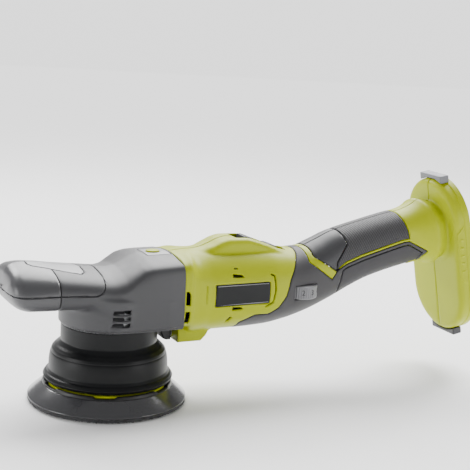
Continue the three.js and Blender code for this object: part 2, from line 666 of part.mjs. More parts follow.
function gearCase() {
  const outer = join(
    bar('z', CASE_R, 47, 76, [0, 0, 0], 28),
    bar('z', CASE_R - 3, 75, 96, [0, 0, 0], 28),
    bar('z', UPPER_BEARING_R + 4, 95, 101.5, [0, 0, 0], 28),
    bar('x', SNOUT_R, 20, HEAD_BACK - 3.2, [0, 0, MOTOR_Z]),
    block([HEAD_BACK - FLANGE_T, -60, FLANGE_LOW], [HEAD_BACK - GAP, 60, HEAD_TOP]).intersect(
      loft(headStations, -WALL - GAP - 0.3)),
  );
  return cut(outer,
    bar('z', MESH_OUT + 3.4, LOWER_SEAT[1] + 1.6, UPPER_SEAT[0] - 2.6, [0, 0, 0], 24),
    bar('z', LOWER_BEARING_R + GAP, LOWER_SEAT[0], LOWER_SEAT[1] + 0.4, [0, 0, 0], 24),
    bar('z', SPINDLE_R + 5, LOWER_SEAT[0] - 6, LOWER_SEAT[1] + 3, [0, 0, 0]),
    bar('z', CASE_R - 3, 40, LOWER_SEAT[0] - 2.4, [0, 0, 0], 28),
    bar('z', UPPER_BEARING_R + GAP, UPPER_SEAT[0] - 3, UPPER_SEAT[1] + 0.4, [0, 0, 0], 28),
    bar('x', FRONT_BEARING_R + GAP, FRONT_SEAT[0] - 0.3, HEAD_BACK + 1, [0, 0, MOTOR_Z]),
    bar('x', COLLAR_R + 2.6, 14, FRONT_SEAT[0] + 1, [0, 0, MOTOR_Z]),
    bar('z', 2.6, MOTOR_Z, 110, [LOCK_X, 0, 0], 16),
    ...FLANGE_SPOTS.map(([y, z]) => bar('x', SCREW_R + GAP, 30, HEAD_BACK + 2, [0, y, z], 16)),
  );
}
add('gear_case', gearCase(), CAST);

// ---------------------------------------------------------------- gears

const TOOTH = (2 * MESH_OUT) / CROWN_TEETH; // module at the outer end
const PITCH = Math.PI * TOOTH;
const ADDENDUM = 0.72 * TOOTH;
const DEDENDUM = 1.02 * TOOTH;
const PINION_PITCH_R = MESH_OUT * (PINION_TEETH / CROWN_TEETH);
const FLANK = Math.tan(THREE.MathUtils.degToRad(20));
const TOOTH_HALF = 0.19 * PITCH;

/** A bevel tooth: its trapezoid in the plane x = MESH_OUT, drawn towards the cones' common tip. */
function crownTooth(angle) {
  const corner = (scale, wide, up) => new THREE.Vector3(MESH_OUT, wide, up).multiplyScalar(scale);
  const top = -PINION_PITCH_R + ADDENDUM;
  const foot = -PINION_PITCH_R - DEDENDUM - 0.8;
  const topHalf = TOOTH_HALF - FLANK * ADDENDUM;
  const footHalf = TOOTH_HALF + FLANK * (DEDENDUM + 0.8);
  const loop = (scale) => [
    corner(scale, -footHalf, foot), corner(scale, footHalf, foot),
    corner(scale, topHalf, top), corner(scale, -topHalf, top),
  ].map((p) => p.applyAxisAngle(new THREE.Vector3(0, 0, 1), angle));
  return skinned([loop(MESH_IN / MESH_OUT), loop(1)]);
}

function crownGear() {
  const foot = PINION_PITCH_R + DEDENDUM;
  const low = foot + 7;
  const bore = SPINDLE_R + GAP;
  const blank = turned([
    [bore, -low], [MESH_OUT - 6, -low], [MESH_OUT + 0.6, -low + 3], [MESH_OUT + 0.6, -foot],
    [MESH_OUT, -foot], [MESH_IN, -foot * (MESH_IN / MESH_OUT)], [MESH_IN - 2, -foot], [bore, -foot],
  ]);
  const teeth = Array.from({ length: CROWN_TEETH }, (_, i) => (
    crownTooth(((i + 0.5) * 2 * Math.PI) / CROWN_TEETH)));
  return join(blank, ...teeth).translate([0, 0, MOTOR_Z]);
}

/** A toothed outline: PINION_TEETH trapezoid teeth with one pointing down. */
function pinion() {
  const tip = PINION_PITCH_R + ADDENDUM;
  const foot = PINION_PITCH_R - DEDENDUM;
  const loop = (scale) => {
    const points = [];
    for (let i = 0; i < PINION_TEETH; i += 1) {
      const middle = -Math.PI / 2 + (2 * Math.PI * i) / PINION_TEETH;
      const tipHalf = (TOOTH_HALF - FLANK * ADDENDUM) / tip;
      const footHalf = (TOOTH_HALF + 0.25 * FLANK * DEDENDUM) / foot;
      for (const [radius, offset] of [[foot, -footHalf], [tip, -tipHalf], [tip, tipHalf], [foot, footHalf]]) {
        const angle = middle + offset;
        points.push(new THREE.Vector3(
          MESH_OUT * scale, radius * scale * Math.cos(angle), MOTOR_Z + radius * scale * Math.sin(angle)));
      }
    }
    return points;
  };
  const teeth = skinned([loop(MESH_IN / MESH_OUT), loop(1)]);
  return teeth.subtract(bar('x', PINION_BORE, 0, 40, [0, 0, MOTOR_Z], 16));
}
const PINION_BORE = 3;
add('crown_gear', crownGear(), STEEL);

// ---------------------------------------------------------------- spindle and plate

const orbitX = ORBIT * Math.cos(ORBIT_ANGLE);
const orbitY = ORBIT * Math.sin(ORBIT_ANGLE);
const onOrbit = (body) => body.translate([orbitX, orbitY, 0]);
const CARRIER = [30, 44]; // z range of the eccentric carrier
const ECC_BEARING_R = 13;
const ECC_SEAT = [31, 40];
const ARBOR_R = 6;
const STUD_END = HOOK_T + 5;
const PLATE_CREST = PLATE_TOP - 2.6; // shelf under the two rings
const SEAL_IN = PLATE_CREST_R - 3.4;

add('spindle', turned([
  [0, CARRIER[1] + GAP], [SPINDLE_R + 3.4, CARRIER[1] + GAP], [SPINDLE_R + 3.4, LOWER_SEAT[0] - GAP],
  [SPINDLE_R, LOWER_SEAT[0] - GAP], [SPINDLE_R, UPPER_SEAT[0] - 4], [SPINDLE_TOP_R, UPPER_SEAT[0] - 4],
  [SPINDLE_TOP_R, UPPER_SEAT[1]], [0, UPPER_SEAT[1]],
], 24), STEEL);
add('spindle_bearing_upper', ring(SPINDLE_TOP_R + GAP, UPPER_BEARING_R, ...UPPER_SEAT, 24), STEEL);
add('spindle_bearing_lower', ring(SPINDLE_R + GAP, LOWER_BEARING_R, ...LOWER_SEAT, 24), STEEL);

function counterweight() {
  const hub = onOrbit(bar('z', ECC_BEARING_R + 3, CARRIER[0], CARRIER[1], [0, 0, 0], 24));
  const start = ORBIT_ANGLE + Math.PI - 1.05;
  const fan = [[0, 0]];
  for (let i = 0; i <= 10; i += 1) {
    const angle = start + 0.21 * i;
    fan.push([32 * Math.cos(angle), 32 * Math.sin(angle)]);
  }
  return cut(join(hub, planPrism(fan, CARRIER[0], CARRIER[1] - 2)),
    onOrbit(bar('z', ECC_BEARING_R + GAP, CARRIER[0] - 1, ECC_SEAT[1] + 0.4, [0, 0, 0], 24)));
}
add('counterweight', counterweight(), CAST);
add('eccentric_bearing', onOrbit(ring(ARBOR_R + GAP, ECC_BEARING_R, ...ECC_SEAT, 24)), STEEL);

// the arbor turns in the eccentric bearing, and its stud screws down into the plate
add('plate_arbor', onOrbit(turned([
  [0, STUD_END], [STUD_R, STUD_END], [STUD_R, PLATE_HUB_TOP + GAP], [ARBOR_R + 4, PLATE_HUB_TOP + GAP],
  [ARBOR_R + 4, CARRIER[0] - 2], [ARBOR_R, CARRIER[0] - 2], [ARBOR_R, ECC_SEAT[1]], [0, ECC_SEAT[1]],
])), STEEL);
add('backing_plate', onOrbit(turned([
  [0, HOOK_T + GAP], [PLATE_R - 0.5, HOOK_T + GAP], [PLATE_R, HOOK_T + 1],
  [PLATE_R - 0.3, HOOK_T + PLATE_RIM + 1], [PLATE_CREST_R, PLATE_CREST], [PLATE_HUB_R + 22, PLATE_CREST],
  [PLATE_HUB_R + 18, PLATE_TOP - 5],
  [PLATE_HUB_R + 2, PLATE_TOP - 5], [PLATE_HUB_R, PLATE_TOP - 3], [PLATE_HUB_R - 2, PLATE_HUB_TOP],
  [STUD_R + GAP, PLATE_HUB_TOP], [STUD_R + GAP, STUD_END - GAP], [0, STUD_END - GAP],
], 36)), DARK_GREY);
add('hook_face', onOrbit(turned([
  [0, 0], [PLATE_R - 0.7, 0], [PLATE_R - 0.7, HOOK_T], [0, HOOK_T],
], 36)), BLACK);
const NOTCH = 0.35; // half-angle of a notch in the seal ring
function sealRing() {
  const whole = ring(SEAL_IN, PLATE_CREST_R - 0.8, PLATE_CREST + GAP, PLATE_TOP + 0.5, 36);
  const notches = Array.from({ length: 6 }, (_, i) => {
    const angle = (i * Math.PI) / 3 - 1.95;
    const reach = PLATE_CREST_R + 5;
    const outline = [angle - NOTCH / 2, angle + NOTCH / 2]
      .map((a) => [reach * Math.cos(a), reach * Math.sin(a)]);
    return planPrism([[0, 0], ...outline], PLATE_TOP - 0.9, PLATE_TOP + 3);
  });
  return onOrbit(cut(whole, ...notches));
}
add('plate_seal_ring', sealRing(), BLACK);
const accentRing = ring(PLATE_CREST_R - 8, SEAL_IN - GAP, PLATE_CREST + GAP, PLATE_TOP + 0.2, 36);
add('plate_accent_ring', onOrbit(accentRing), LIME);

// ---------------------------------------------------------------- spindle lock

const LOCK_FLANGE = [108.4, 110.2];
const lockButton = join(oval(0, LOCK_FLANGE[1] - 1, HEAD_TOP + 1.6), oval(1.2, ...LOCK_FLANGE));
const lockPin = bar('z', 2, MOTOR_Z + COLLAR_R + 1, LOCK_FLANGE[0] - GAP, [LOCK_X, 0, 0], 16);
add('spindle_lock_button', lockButton, LIME);
add('spindle_lock_pin', lockPin, STEEL);

function lockSpring() {
  const [low, high] = [MOTOR_Z + SNOUT_R + GAP, LOCK_FLANGE[0] - GAP];
  const wireR = 0.35;
  const turns = 4;
  const points = Array.from({ length: turns * 8 + 1 }, (_, i) => {
    const angle = (i * Math.PI) / 4;
    const height = low + wireR + ((high - low - 2 * wireR) * i) / (turns * 8);
    return [LOCK_X + 3.4 * Math.cos(angle), 3.4 * Math.sin(angle), height];
  });
  return wire(wireR, points, turns * 8, 4);
}
add('lock_spring', lockSpring(), STEEL);

// the pinion and its notched collar are one turned piece
const neck = bar('x', SHAFT_R + 1.6, MESH_OUT - 0.2, COLLAR[0] + 0.2, [0, 0, MOTOR_Z], 16)
  .subtract(bar('x', SHAFT_R + GAP, MESH_OUT - 1, COLLAR[0] + 1, [0, 0, MOTOR_Z], 16));

/** The collar on the pinion shaft with four notches for the lock pin. */
function lockCollar() {
  const whole = bar('x', COLLAR_R, ...COLLAR, [0, 0, MOTOR_Z], 20);
  const bore = bar('x', SHAFT_R + GAP, 20, 40, [0, 0, MOTOR_Z], 16);
  const floor = COLLAR_R + 0.5 - LOCK_TRAVEL;
  const slot = block([LOCK_X - 2.6, -2.6, floor], [LOCK_X + 2.6, 2.6, COLLAR_R + 4]);
  const slots = [0, 90, 180, 270].map((turn) => slot.rotate([turn, 0, 0]).translate([0, 0, MOTOR_Z]));
  return cut(whole, bore, ...slots);
}
add('pinion', join(pinion(), neck, lockCollar()), STEEL);

// ---------------------------------------------------------------- motor

const alongX = (body) => body.rotate([0, 90, 0]).translate([0, 0, MOTOR_Z]);
const FAN = [50, 59.5];
const CORE = [67, 102];
const CAN = [62, 110];
const COMMUTATOR = [112, 123];
const REAR_SEAT = [129, 135];
const REAR_BEARING_R = 8;
const REAR_CARD = 125; // front face of the brush card
const COMMUTATOR_R = 10.5;

add('armature_shaft', alongX(turned([
  [0, MESH_IN + 0.6], [PINION_BORE - GAP, MESH_IN + 0.6], [PINION_BORE - GAP, MESH_OUT + GAP],
  [SHAFT_R, MESH_OUT + GAP], [SHAFT_R, REAR_SEAT[0] - 1], [SHAFT_R - 1, REAR_SEAT[0] - 1],
  [SHAFT_R - 1, REAR_SEAT[1]], [0, REAR_SEAT[1]],
], 20)), STEEL);

/** A disc along X with slots cut in its rim. */
function slotted(radius, depth, slots, width, [x0, x1], bore) {
  const whole = bar('x', radius, x0, x1, [0, 0, MOTOR_Z], slots * 2);
  const hole = bar('x', bore, x0 - 1, x1 + 1, [0, 0, MOTOR_Z], 20);
  const slot = block([x0 - 1, -width / 2, radius - depth], [x1 + 1, width / 2, radius + 2]);
  const cuts = Array.from({ length: slots }, (_, i) => (
    slot.rotate([(i * 360) / slots, 0, 0]).translate([0, 0, MOTOR_Z])));
  return cut(whole, hole, ...cuts);
}
add('armature_core', slotted(CORE_R, 7, 10, 3, CORE, SHAFT_R + GAP), COPPER);
add('commutator', slotted(COMMUTATOR_R, 1.4, 12, 0.8, COMMUTATOR, SHAFT_R + GAP), COPPER);

function fan() {
  const hub = bar('x', 9, ...FAN, [0, 0, MOTOR_Z]);
  const disc = bar('x', FAN_R, FAN[1] - 1.8, FAN[1], [0, 0, MOTOR_Z], 28);
  const blade = block([FAN[0], -0.8, 6], [FAN[1] - 1, 0.8, FAN_R - 1]);
  const blades = Array.from({ length: 9 }, (_, i) => (
    blade.rotate([(i * 360) / 9, 0, 0]).translate([0, 0, MOTOR_Z])));
  return cut(join(hub, disc, ...blades), bar('x', SHAFT_R + GAP, 40, 70, [0, 0, MOTOR_Z]));
}
add('cooling_fan', fan().subtract(bar('x', FRONT_BEARING_R + 3, 40, FAN[0] + 1, [0, 0, MOTOR_Z])), BLACK);
add('pinion_bearing', alongX(ring(SHAFT_R + GAP, FRONT_BEARING_R, ...FRONT_SEAT, 24)), STEEL);
add('rear_bearing', alongX(ring(SHAFT_R - 1 + GAP, REAR_BEARING_R, ...REAR_SEAT, 24)), STEEL);
add('motor_can', alongX(ring(CAN_R - CAN_T, CAN_R, ...CAN, 28)), STEEL);

function brushCard() {
  const plate = bar('x', 20, REAR_CARD, REAR_SEAT[1] + 2, [0, 0, MOTOR_Z], 24);
  const seat = bar('x', REAR_BEARING_R + GAP, REAR_SEAT[0] - GAP, 150, [0, 0, MOTOR_Z]);
  return cut(plate, seat, bar('x', SHAFT_R + 1, 120, 140, [0, 0, MOTOR_Z], 20));
}
add('brush_card', brushCard(), BLACK);
for (const [side, turn] of [['left', 180], ['right', 0]]) {
  const near = COMMUTATOR_R + 1.2;
  const placed = (body) => body.rotate([turn, 0, 0]).translate([0, 0, MOTOR_Z]);
  const holder = block([113, near, -6], [REAR_CARD - GAP, near + 13, 6]);
  const channel = block([114.2, near - 3, -3.6], [120.8, near + 8 + GAP, 3.6]);
  add(`brush_holder_${side}`, placed(holder.subtract(channel)), BRASS);
  add(`carbon_brush_${side}`, placed(block([114.5, near - 0.8, -3.3], [120.5, near + 8, 3.3])), DARK_GREY);
}

// ---------------------------------------------------------------- controls and wiring

function switchKnob() {
  const base = onSlope([-KNOB_REACH, KNOB_REACH], KNOB_HALF, [-WELL_DEPTH + GAP, -0.6]);
  const front = onSlope([-KNOB_REACH, -KNOB_REACH + 8], KNOB_HALF, [-1, 1]);
  const back = onSlope([KNOB_REACH - 8, KNOB_REACH], KNOB_HALF, [-1, 1.2]);
  const stem = onSlope(STEM, 2, [-11, -1]);
  return join(base, front, back, stem);
}
add('power_switch_knob', switchKnob(), DARK_GREY);
const SWITCH_BOX = [[111, -9, MOTOR_Z + COMMUTATOR_R + 1], [124.5, 9, 107.5]];
add('switch_module', block(...SWITCH_BOX), BLACK);

function speedDial() {
  const wheel = bar('z', DIAL_R, DIAL_Z - DIAL_T / 2, DIAL_Z + DIAL_T / 2, [0, 0, 0], 40);
  const groove = block([DIAL_R - 0.7, -0.5, DIAL_Z - DIAL_T], [DIAL_R + 2, 0.5, DIAL_Z + DIAL_T]);
  const grooves = Array.from({ length: 20 }, (_, i) => groove.rotate([0, 0, i * 18]));
  const bore = bar('z', 2.3, DIAL_Z - DIAL_T, DIAL_Z + DIAL_T, [0, 0, 0], 12);
  return cut(wheel, bore, ...grooves).translate([DIAL_X, DIAL_Y, 0]);
}
add('speed_dial', speedDial(), LIGHT_GREY);
const BOARD_Z = DIAL_Z - DIAL_T / 2 - 1;
add('speed_controller', join(
  bar('z', 1.8, BOARD_Z - 1, DIAL_Z + DIAL_T / 2 - 1, [DIAL_X, DIAL_Y, 0], 12),
  block([DIAL_X - 9, DIAL_Y - 0.4, BOARD_Z - 2.2], [DIAL_X + 2, 8, BOARD_Z]),
  block([DIAL_X - 8, -8, BOARD_Z - 6.4], [DIAL_X + 5, 8, BOARD_Z - 2]),
), BLACK);
const TERMINAL = [[226, -12.5, 103], [246, 12.5, 122]];
add('terminal_block', block(...TERMINAL), BLACK);
for (const [name, y] of [['positive', 7], ['negative', -7]]) {
  const blade = block([TERMINAL[1][0] + GAP, y - 0.6, 107], [TERMINAL[1][0] + 16, y + 0.6, 119]);
  add(`contact_blade_${name}`, blade, BRASS);
}
add('battery_lead', wire(1.5, [
  [TERMINAL[0][0] - GAP, 2, 112], [214, 2, 109], [200, 0, 101], [188, -2, 90], [178, -2, 76],
  [172, -2, BOARD_Z - 4], [DIAL_X + 6, -2, BOARD_Z - 4],
], 14), RED);

// ---------------------------------------------------------------- screws

/** A pan head screw along +Y with its head on the right-hand side. */
function housingScrew([x, z]) {
  const shank = bar('y', SCREW_R, -9.8, SCREW_SEAT + 1, [x, 0, z], 8);
  const head = bar('y', SCREW_HEAD_R, SCREW_SEAT + GAP, SCREW_SEAT + GAP + 2.4, [x, 0, z], 12);
  const slot = bar('y', 1.5, SCREW_SEAT + 1.6, SCREW_SEAT + 5, [x, 0, z], 6);
  return join(shank, head).subtract(slot);
}
SCREW_SPOTS.forEach((spot, i) => add(`housing_screw_${i + 1}`, housingScrew(spot), STEEL));

/** A screw along +X with its head inside the head cover. */
function flangeScrew([y, z]) {
  const face = HEAD_BACK - FLANGE_T - GAP;
  return join(
    bar('x', SCREW_R, face - 1, 57, [0, y, z], 8),
    bar('x', SCREW_HEAD_R, face - 2.4, face, [0, y, z], 12),
  );
}
FLANGE_SPOTS.forEach((spot, i) => add(`flange_screw_${i + 1}`, flangeScrew(spot), STEEL));

// ---------------------------------------------------------------- the tool

const polisher = new THREE.Group();
for (const [name, { body, look }] of node) {
  const mesh = new THREE.Mesh(geometryOf(body), new THREE.MeshStandardMaterial(look));
  mesh.name = name;
  polisher.add(mesh);
}

export default polisher;
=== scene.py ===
"""Cordless dual action polisher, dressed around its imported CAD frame.

Shapes are worked out in millimetres and written to meshes in metres. Each moulded skin is a
grid of rays: every ray leaves a point inside the tool and stops where a distance-like field,
which is negative inside the shape, reaches nought. Skins are then trimmed along the same side
outlines as the CAD pieces, their rims are rolled under, and they are given a wall.
"""

import json
import logging
import math
from dataclasses import dataclass, field
from enum import Enum
from typing import Callable, Iterable, Optional, Sequence

import bpy
import numpy as np
from mathutils import Matrix, Vector

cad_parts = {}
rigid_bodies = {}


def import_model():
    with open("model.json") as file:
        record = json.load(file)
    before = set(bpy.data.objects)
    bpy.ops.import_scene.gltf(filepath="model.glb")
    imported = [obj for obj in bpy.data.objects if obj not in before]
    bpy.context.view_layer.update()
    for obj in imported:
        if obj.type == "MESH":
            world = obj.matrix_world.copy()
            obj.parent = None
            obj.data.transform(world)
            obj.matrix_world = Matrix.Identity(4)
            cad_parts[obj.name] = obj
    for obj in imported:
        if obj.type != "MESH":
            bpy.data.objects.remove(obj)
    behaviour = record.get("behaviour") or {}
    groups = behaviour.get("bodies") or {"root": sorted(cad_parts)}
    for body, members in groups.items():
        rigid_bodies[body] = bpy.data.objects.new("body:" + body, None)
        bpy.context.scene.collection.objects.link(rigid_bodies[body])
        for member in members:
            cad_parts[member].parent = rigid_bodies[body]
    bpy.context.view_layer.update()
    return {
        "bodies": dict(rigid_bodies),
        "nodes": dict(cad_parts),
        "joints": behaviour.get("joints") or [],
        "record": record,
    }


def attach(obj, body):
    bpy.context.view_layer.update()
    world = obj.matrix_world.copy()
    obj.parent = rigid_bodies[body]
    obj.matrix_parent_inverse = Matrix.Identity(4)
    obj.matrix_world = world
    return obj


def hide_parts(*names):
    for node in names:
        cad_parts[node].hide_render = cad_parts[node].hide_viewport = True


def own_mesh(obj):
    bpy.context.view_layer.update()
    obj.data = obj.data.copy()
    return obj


log = logging.getLogger("polisher")
Array = np.ndarray
Colour = tuple[float, float, float]
MM = 0.001
FULL_TURN = 2 * math.pi


# ------------------------------------------------------------------ numbers and fields


def srgb(red: float, green: float, blue: float) -> Colour:
    """Turns an 8-bit display colour into a linear one.

    Args:
        red: Red from 0 to 255.
        green: Green from 0 to 255.
        blue: Blue from 0 to 255.

    Returns:
        The linear colour, each part being ((c + 0.055) / 1.055) to the power 2.4.
    """
    return tuple((((c / 255) + 0.055) / 1.055) ** 2.4 for c in (red, green, blue))


def ease(value: Array, low: float, high: float) -> Array:
    """Smooth step: t squared times (3 - 2t), with t going from 0 at low to 1 at high."""
    t = np.clip((value - low) / (high - low), 0, 1)
    return t * t * (3 - 2 * t)


def through(knots: Array, values: Array, at: Array) -> Array:
    """Smooth curve through knots that doesn't overshoot them.

    Each span is a cubic Hermite. The slope at a knot is the harmonic mean of its two
    neighbouring chords, or nought where they change sign.

    Args:
        knots: Rising positions, one per row.
        values: Values at the knots, of shape (knots, columns).
        at: Positions to read, of any shape. They are held within the knots.

    Returns:
        The values, of shape at.shape + (columns,).
    """
    step = np.diff(knots)[:, None]
    chord = np.diff(values, axis=0) / step
    product = chord[:-1] * chord[1:]
    total = chord[:-1] + chord[1:]
    inner = np.where(product > 0, 2 * product / np.where(total == 0, 1, total), 0)
    slope = np.concatenate([chord[:1], inner, chord[-1:]])
    x = np.clip(at, knots[0], knots[-1])
    i = np.clip(np.searchsorted(knots, x, side="right") - 1, 0, len(knots) - 2)
    width = step[i, 0][..., None]
    t = (x - knots[i])[..., None] / width
    first = (1 + 2 * t) * (1 - t) ** 2 * values[i] + t * t * (3 - 2 * t) * values[i + 1]
    return first + width * (t * (1 - t) ** 2 * slope[i] - t * t * (1 - t) * slope[i + 1])


def meld(a: Array, b: Array, reach: float) -> Array:
    """Union of two fields with a fillet: the lower one, less h squared times reach / 4.

    Args:
        a: First field.
        b: Second field.
        reach: Distance over which the two are blended.

    Returns:
        The blended field, where h is 1 - |a - b| / reach, held above nought.
    """
    h = np.clip(1 - np.abs(a - b) / np.maximum(reach, 1e-6), 0, 1)
    return np.minimum(a, b) - h * h * reach / 4


def common(a: Array, b: Array, reach: float) -> Array:
    """Intersection of two fields with an edge rounded over the distance reach."""
    return -meld(-a, -b, reach)


def inside(outline: Sequence[Sequence[float]], a: Array, b: Array) -> Array:
    """Distance to a closed outline, positive inside it.

    The distance is the least over the outline's edges. A point is inside if a line to one side
    of it crosses the edges an odd number of times.

    Args:
        outline: Corners as pairs of numbers.
        a: First coordinate of the points.
        b: Second coordinate of the points.

    Returns:
        The signed distances, of the shape of a.
    """
    p = np.asarray(outline, float)
    q = np.roll(p, -1, axis=0)
    edge = q - p
    da, db = a[..., None] - p[:, 0], b[..., None] - p[:, 1]
    t = np.clip((da * edge[:, 0] + db * edge[:, 1]) / (edge**2).sum(1), 0, 1)
    away = np.hypot(da - t * edge[:, 0], db - t * edge[:, 1]).min(-1)
    above = (p[:, 1] > b[..., None]) != (q[:, 1] > b[..., None])
    rise = np.where(edge[:, 1] == 0, 1e-9, edge[:, 1])
    crossed = above & (a[..., None] < p[:, 0] + db / rise * edge[:, 0])
    return np.where(crossed.sum(-1) % 2 == 1, away, -away)


def off_line(points: Sequence[Sequence[float]], half: float, a: Array, b: Array) -> Array:
    """Distance outside a slot that runs along a line of points, with round ends.

    Args:
        points: The slot's centreline.
        half: Half the slot's width.
        a: First coordinate of the places asked about.
        b: Second coordinate of the places asked about.

    Returns:
        Distance to the nearest stretch of the line, less half.
    """
    p = np.asarray(points, float)
    edge = p[1:] - p[:-1]
    da, db = a[..., None] - p[:-1, 0], b[..., None] - p[:-1, 1]
    t = np.clip((da * edge[:, 0] + db * edge[:, 1]) / (edge**2).sum(1), 0, 1)
    return np.hypot(da - t * edge[:, 0], db - t * edge[:, 1]).min(-1) - half


@dataclass(frozen=True)
class Tube:
    """A moulding along X with a superellipse section at each station.

    Attributes:
        stations: Rows of x, low, high, half and power: the section's bottom and top, half its
            width, and the exponent that squares its corners.
    """

    stations: tuple[tuple[float, ...], ...]

    def section(self, x: Array) -> tuple[Array, Array, Array, Array]:
        """Middle height, half height, half width and power at x."""
        table = np.array(self.stations)
        low, high, half, power = np.moveaxis(through(table[:, 0], table[:, 1:], x), -1, 0)
        return (low + high) / 2, (high - low) / 2, half, power

    def depth(self, p: Array) -> Array:
        """Field of the moulding.

        Args:
            p: Points, of shape (..., 3).

        Returns:
            (q - 1) times the section's smaller half, where q to the power n is
            |y / half|^n + |(z - middle) / rise|^n, cut off square at both ends.
        """
        middle, rise, half, power = self.section(p[..., 0])
        across = np.abs(p[..., 1] / half) ** power
        up = np.abs((p[..., 2] - middle) / rise) ** power
        body = ((across + up) ** (1 / power) - 1) * np.minimum(half, rise)
        ends = np.maximum(self.stations[0][0] - p[..., 0], p[..., 0] - self.stations[-1][0])
        return np.maximum(body, ends)


# ------------------------------------------------------------------ grids and meshes


def cast(origin: Array, way: Array, depth: Callable[[Array], Array], reach: float) -> Array:
    """Where rays from inside a shape meet its surface.

    Halves the span between a point inside and one outside 22 times, for all rays at once.

    Args:
        origin: Starts of the rays, of shape (..., 3).
        way: Their directions, of the same shape.
        depth: Field of the shape, negative inside.
        reach: Distance that is sure to be outside.

    Returns:
        The points met, of the same shape.
    """
    way = way / np.linalg.norm(way, axis=-1, keepdims=True)
    near = np.zeros(way.shape[:-1])
    far = np.full(way.shape[:-1], reach)
    for _ in range(22):
        mid = (near + far) / 2
        out = depth(origin + mid[..., None] * way) > 0
        far = np.where(out, mid, far)
        near = np.where(out, near, mid)
    return origin + near[..., None] * way


def facing(grid: Array) -> Array:
    """Unit normals of a grid of points, from the cross product of its two tangents."""
    along = np.gradient(grid, axis=0)
    round_it = np.gradient(grid, axis=1)
    normal = np.cross(round_it, along)
    return normal / np.maximum(np.linalg.norm(normal, axis=-1, keepdims=True), 1e-9)


@dataclass
class Patch:
    """Loose triangles on a skin, with a normal and named values at each vertex."""

    points: Array
    normals: Array
    triangles: Array
    values: dict[str, Array]


def triangles_of(rows: int, columns: int) -> Array:
    """Two triangles for each cell of a grid, as indices into its flattened points."""
    i = np.arange(rows - 1)[:, None] * columns + np.arange(columns - 1)
    a, b, c, d = i, i + 1, i + columns, i + columns + 1
    one = np.stack([a, b, d], -1).reshape(-1, 3)
    two = np.stack([a, d, c], -1).reshape(-1, 3)
    return np.concatenate([one, two])


def welded(points: Array, triangles: Array) -> tuple[Array, Array]:
    """Joins vertices that share a place, and drops triangles that close up.

    Args:
        points: Vertices, of shape (n, 3), in millimetres.
        triangles: Their indices, of shape (m, 3).

    Returns:
        The index of one kept vertex per group, and the triangles over those groups.
    """
    keys = np.round(points * 2000).astype(np.int64)
    _, first, group = np.unique(keys, axis=0, return_index=True, return_inverse=True)
    t = group.reshape(-1)[triangles]
    good = (t[:, 0] != t[:, 1]) & (t[:, 1] != t[:, 2]) & (t[:, 0] != t[:, 2])
    return first, t[good]


def trimmed(grid: Array, keep: Array, **extra: Array) -> Patch:
    """The part of a skin where keep is positive, cut exactly along its zero line.

    A triangle with one kept corner leaves a smaller triangle, and one with two kept corners
    leaves a quad. A new vertex lies on an edge at the share k1 / (k1 - k2), where k1 and k2 are
    the values at the edge's ends, and both neighbours use it.

    Args:
        grid: Points of the skin, of shape (rows, columns, 3).
        keep: Distance inside the region, of shape (rows, columns).
        extra: More values to carry on the vertices.

    Returns:
        The patch, whose values hold "rim", the distance from the cut line.
    """
    rows, columns = keep.shape
    points, normals = grid.reshape(-1, 3), facing(grid).reshape(-1, 3)
    first, tri = welded(points, triangles_of(rows, columns))
    points, normals = points[first], normals[first]
    flat = {"rim": keep.reshape(-1)[first]}
    flat.update({k: v.reshape(-1)[first] for k, v in extra.items()})
    k = np.where(np.abs(flat["rim"]) < 1e-4, 1e-4, flat["rim"])
    kept = k > 0
    count = kept[tri].sum(1)
    whole, one, two = tri[count == 3], tri[count == 1], tri[count == 2]

    def turned(t: Array, odd: Array) -> Array:
        """Turns each triangle so that its odd corner comes first."""
        start = np.argmax(odd, axis=1)
        return t[np.arange(len(t))[:, None], (start[:, None] + np.arange(3)) % 3]

    one = turned(one, kept[one])
    two = turned(two, ~kept[two])
    ends = np.concatenate([one[:, [0, 1]], one[:, [0, 2]], two[:, [0, 1]], two[:, [0, 2]]])
    pair, index = np.unique(np.sort(ends, axis=1), axis=0, return_inverse=True)
    index = index.reshape(-1) + len(points)
    share = (k[pair[:, 0]] / (k[pair[:, 0]] - k[pair[:, 1]]))[:, None] if len(pair) else None
    if len(pair):
        def between(v: Array) -> Array:
            """Values at the new vertices."""
            s = share if v.ndim == 2 else share[:, 0]
            return v[pair[:, 0]] * (1 - s) + v[pair[:, 1]] * s
        points = np.concatenate([points, between(points)])
        normals = np.concatenate([normals, between(normals)])
        flat = {n: np.concatenate([v, between(v)]) for n, v in flat.items()}
    n1, n2 = len(one), len(two)
    a, b = index[:n1], index[n1:2 * n1]
    c, d = index[2 * n1:2 * n1 + n2], index[2 * n1 + n2:]
    tri = np.concatenate([
        whole,
        np.stack([one[:, 0], a, b], -1),
        np.stack([two[:, 1], two[:, 2], d], -1),
        np.stack([two[:, 1], d, c], -1),
    ]).astype(np.int64)
    used, back = np.unique(tri, return_inverse=True)
    points, normals = points[used], normals[used]
    normals /= np.maximum(np.linalg.norm(normals, axis=1, keepdims=True), 1e-9)
    flat = {n: v[used] for n, v in flat.items()}
    first, tri = welded(points, back.reshape(-1, 3))
    return Patch(points[first], normals[first], tri, {n: v[first] for n, v in flat.items()})


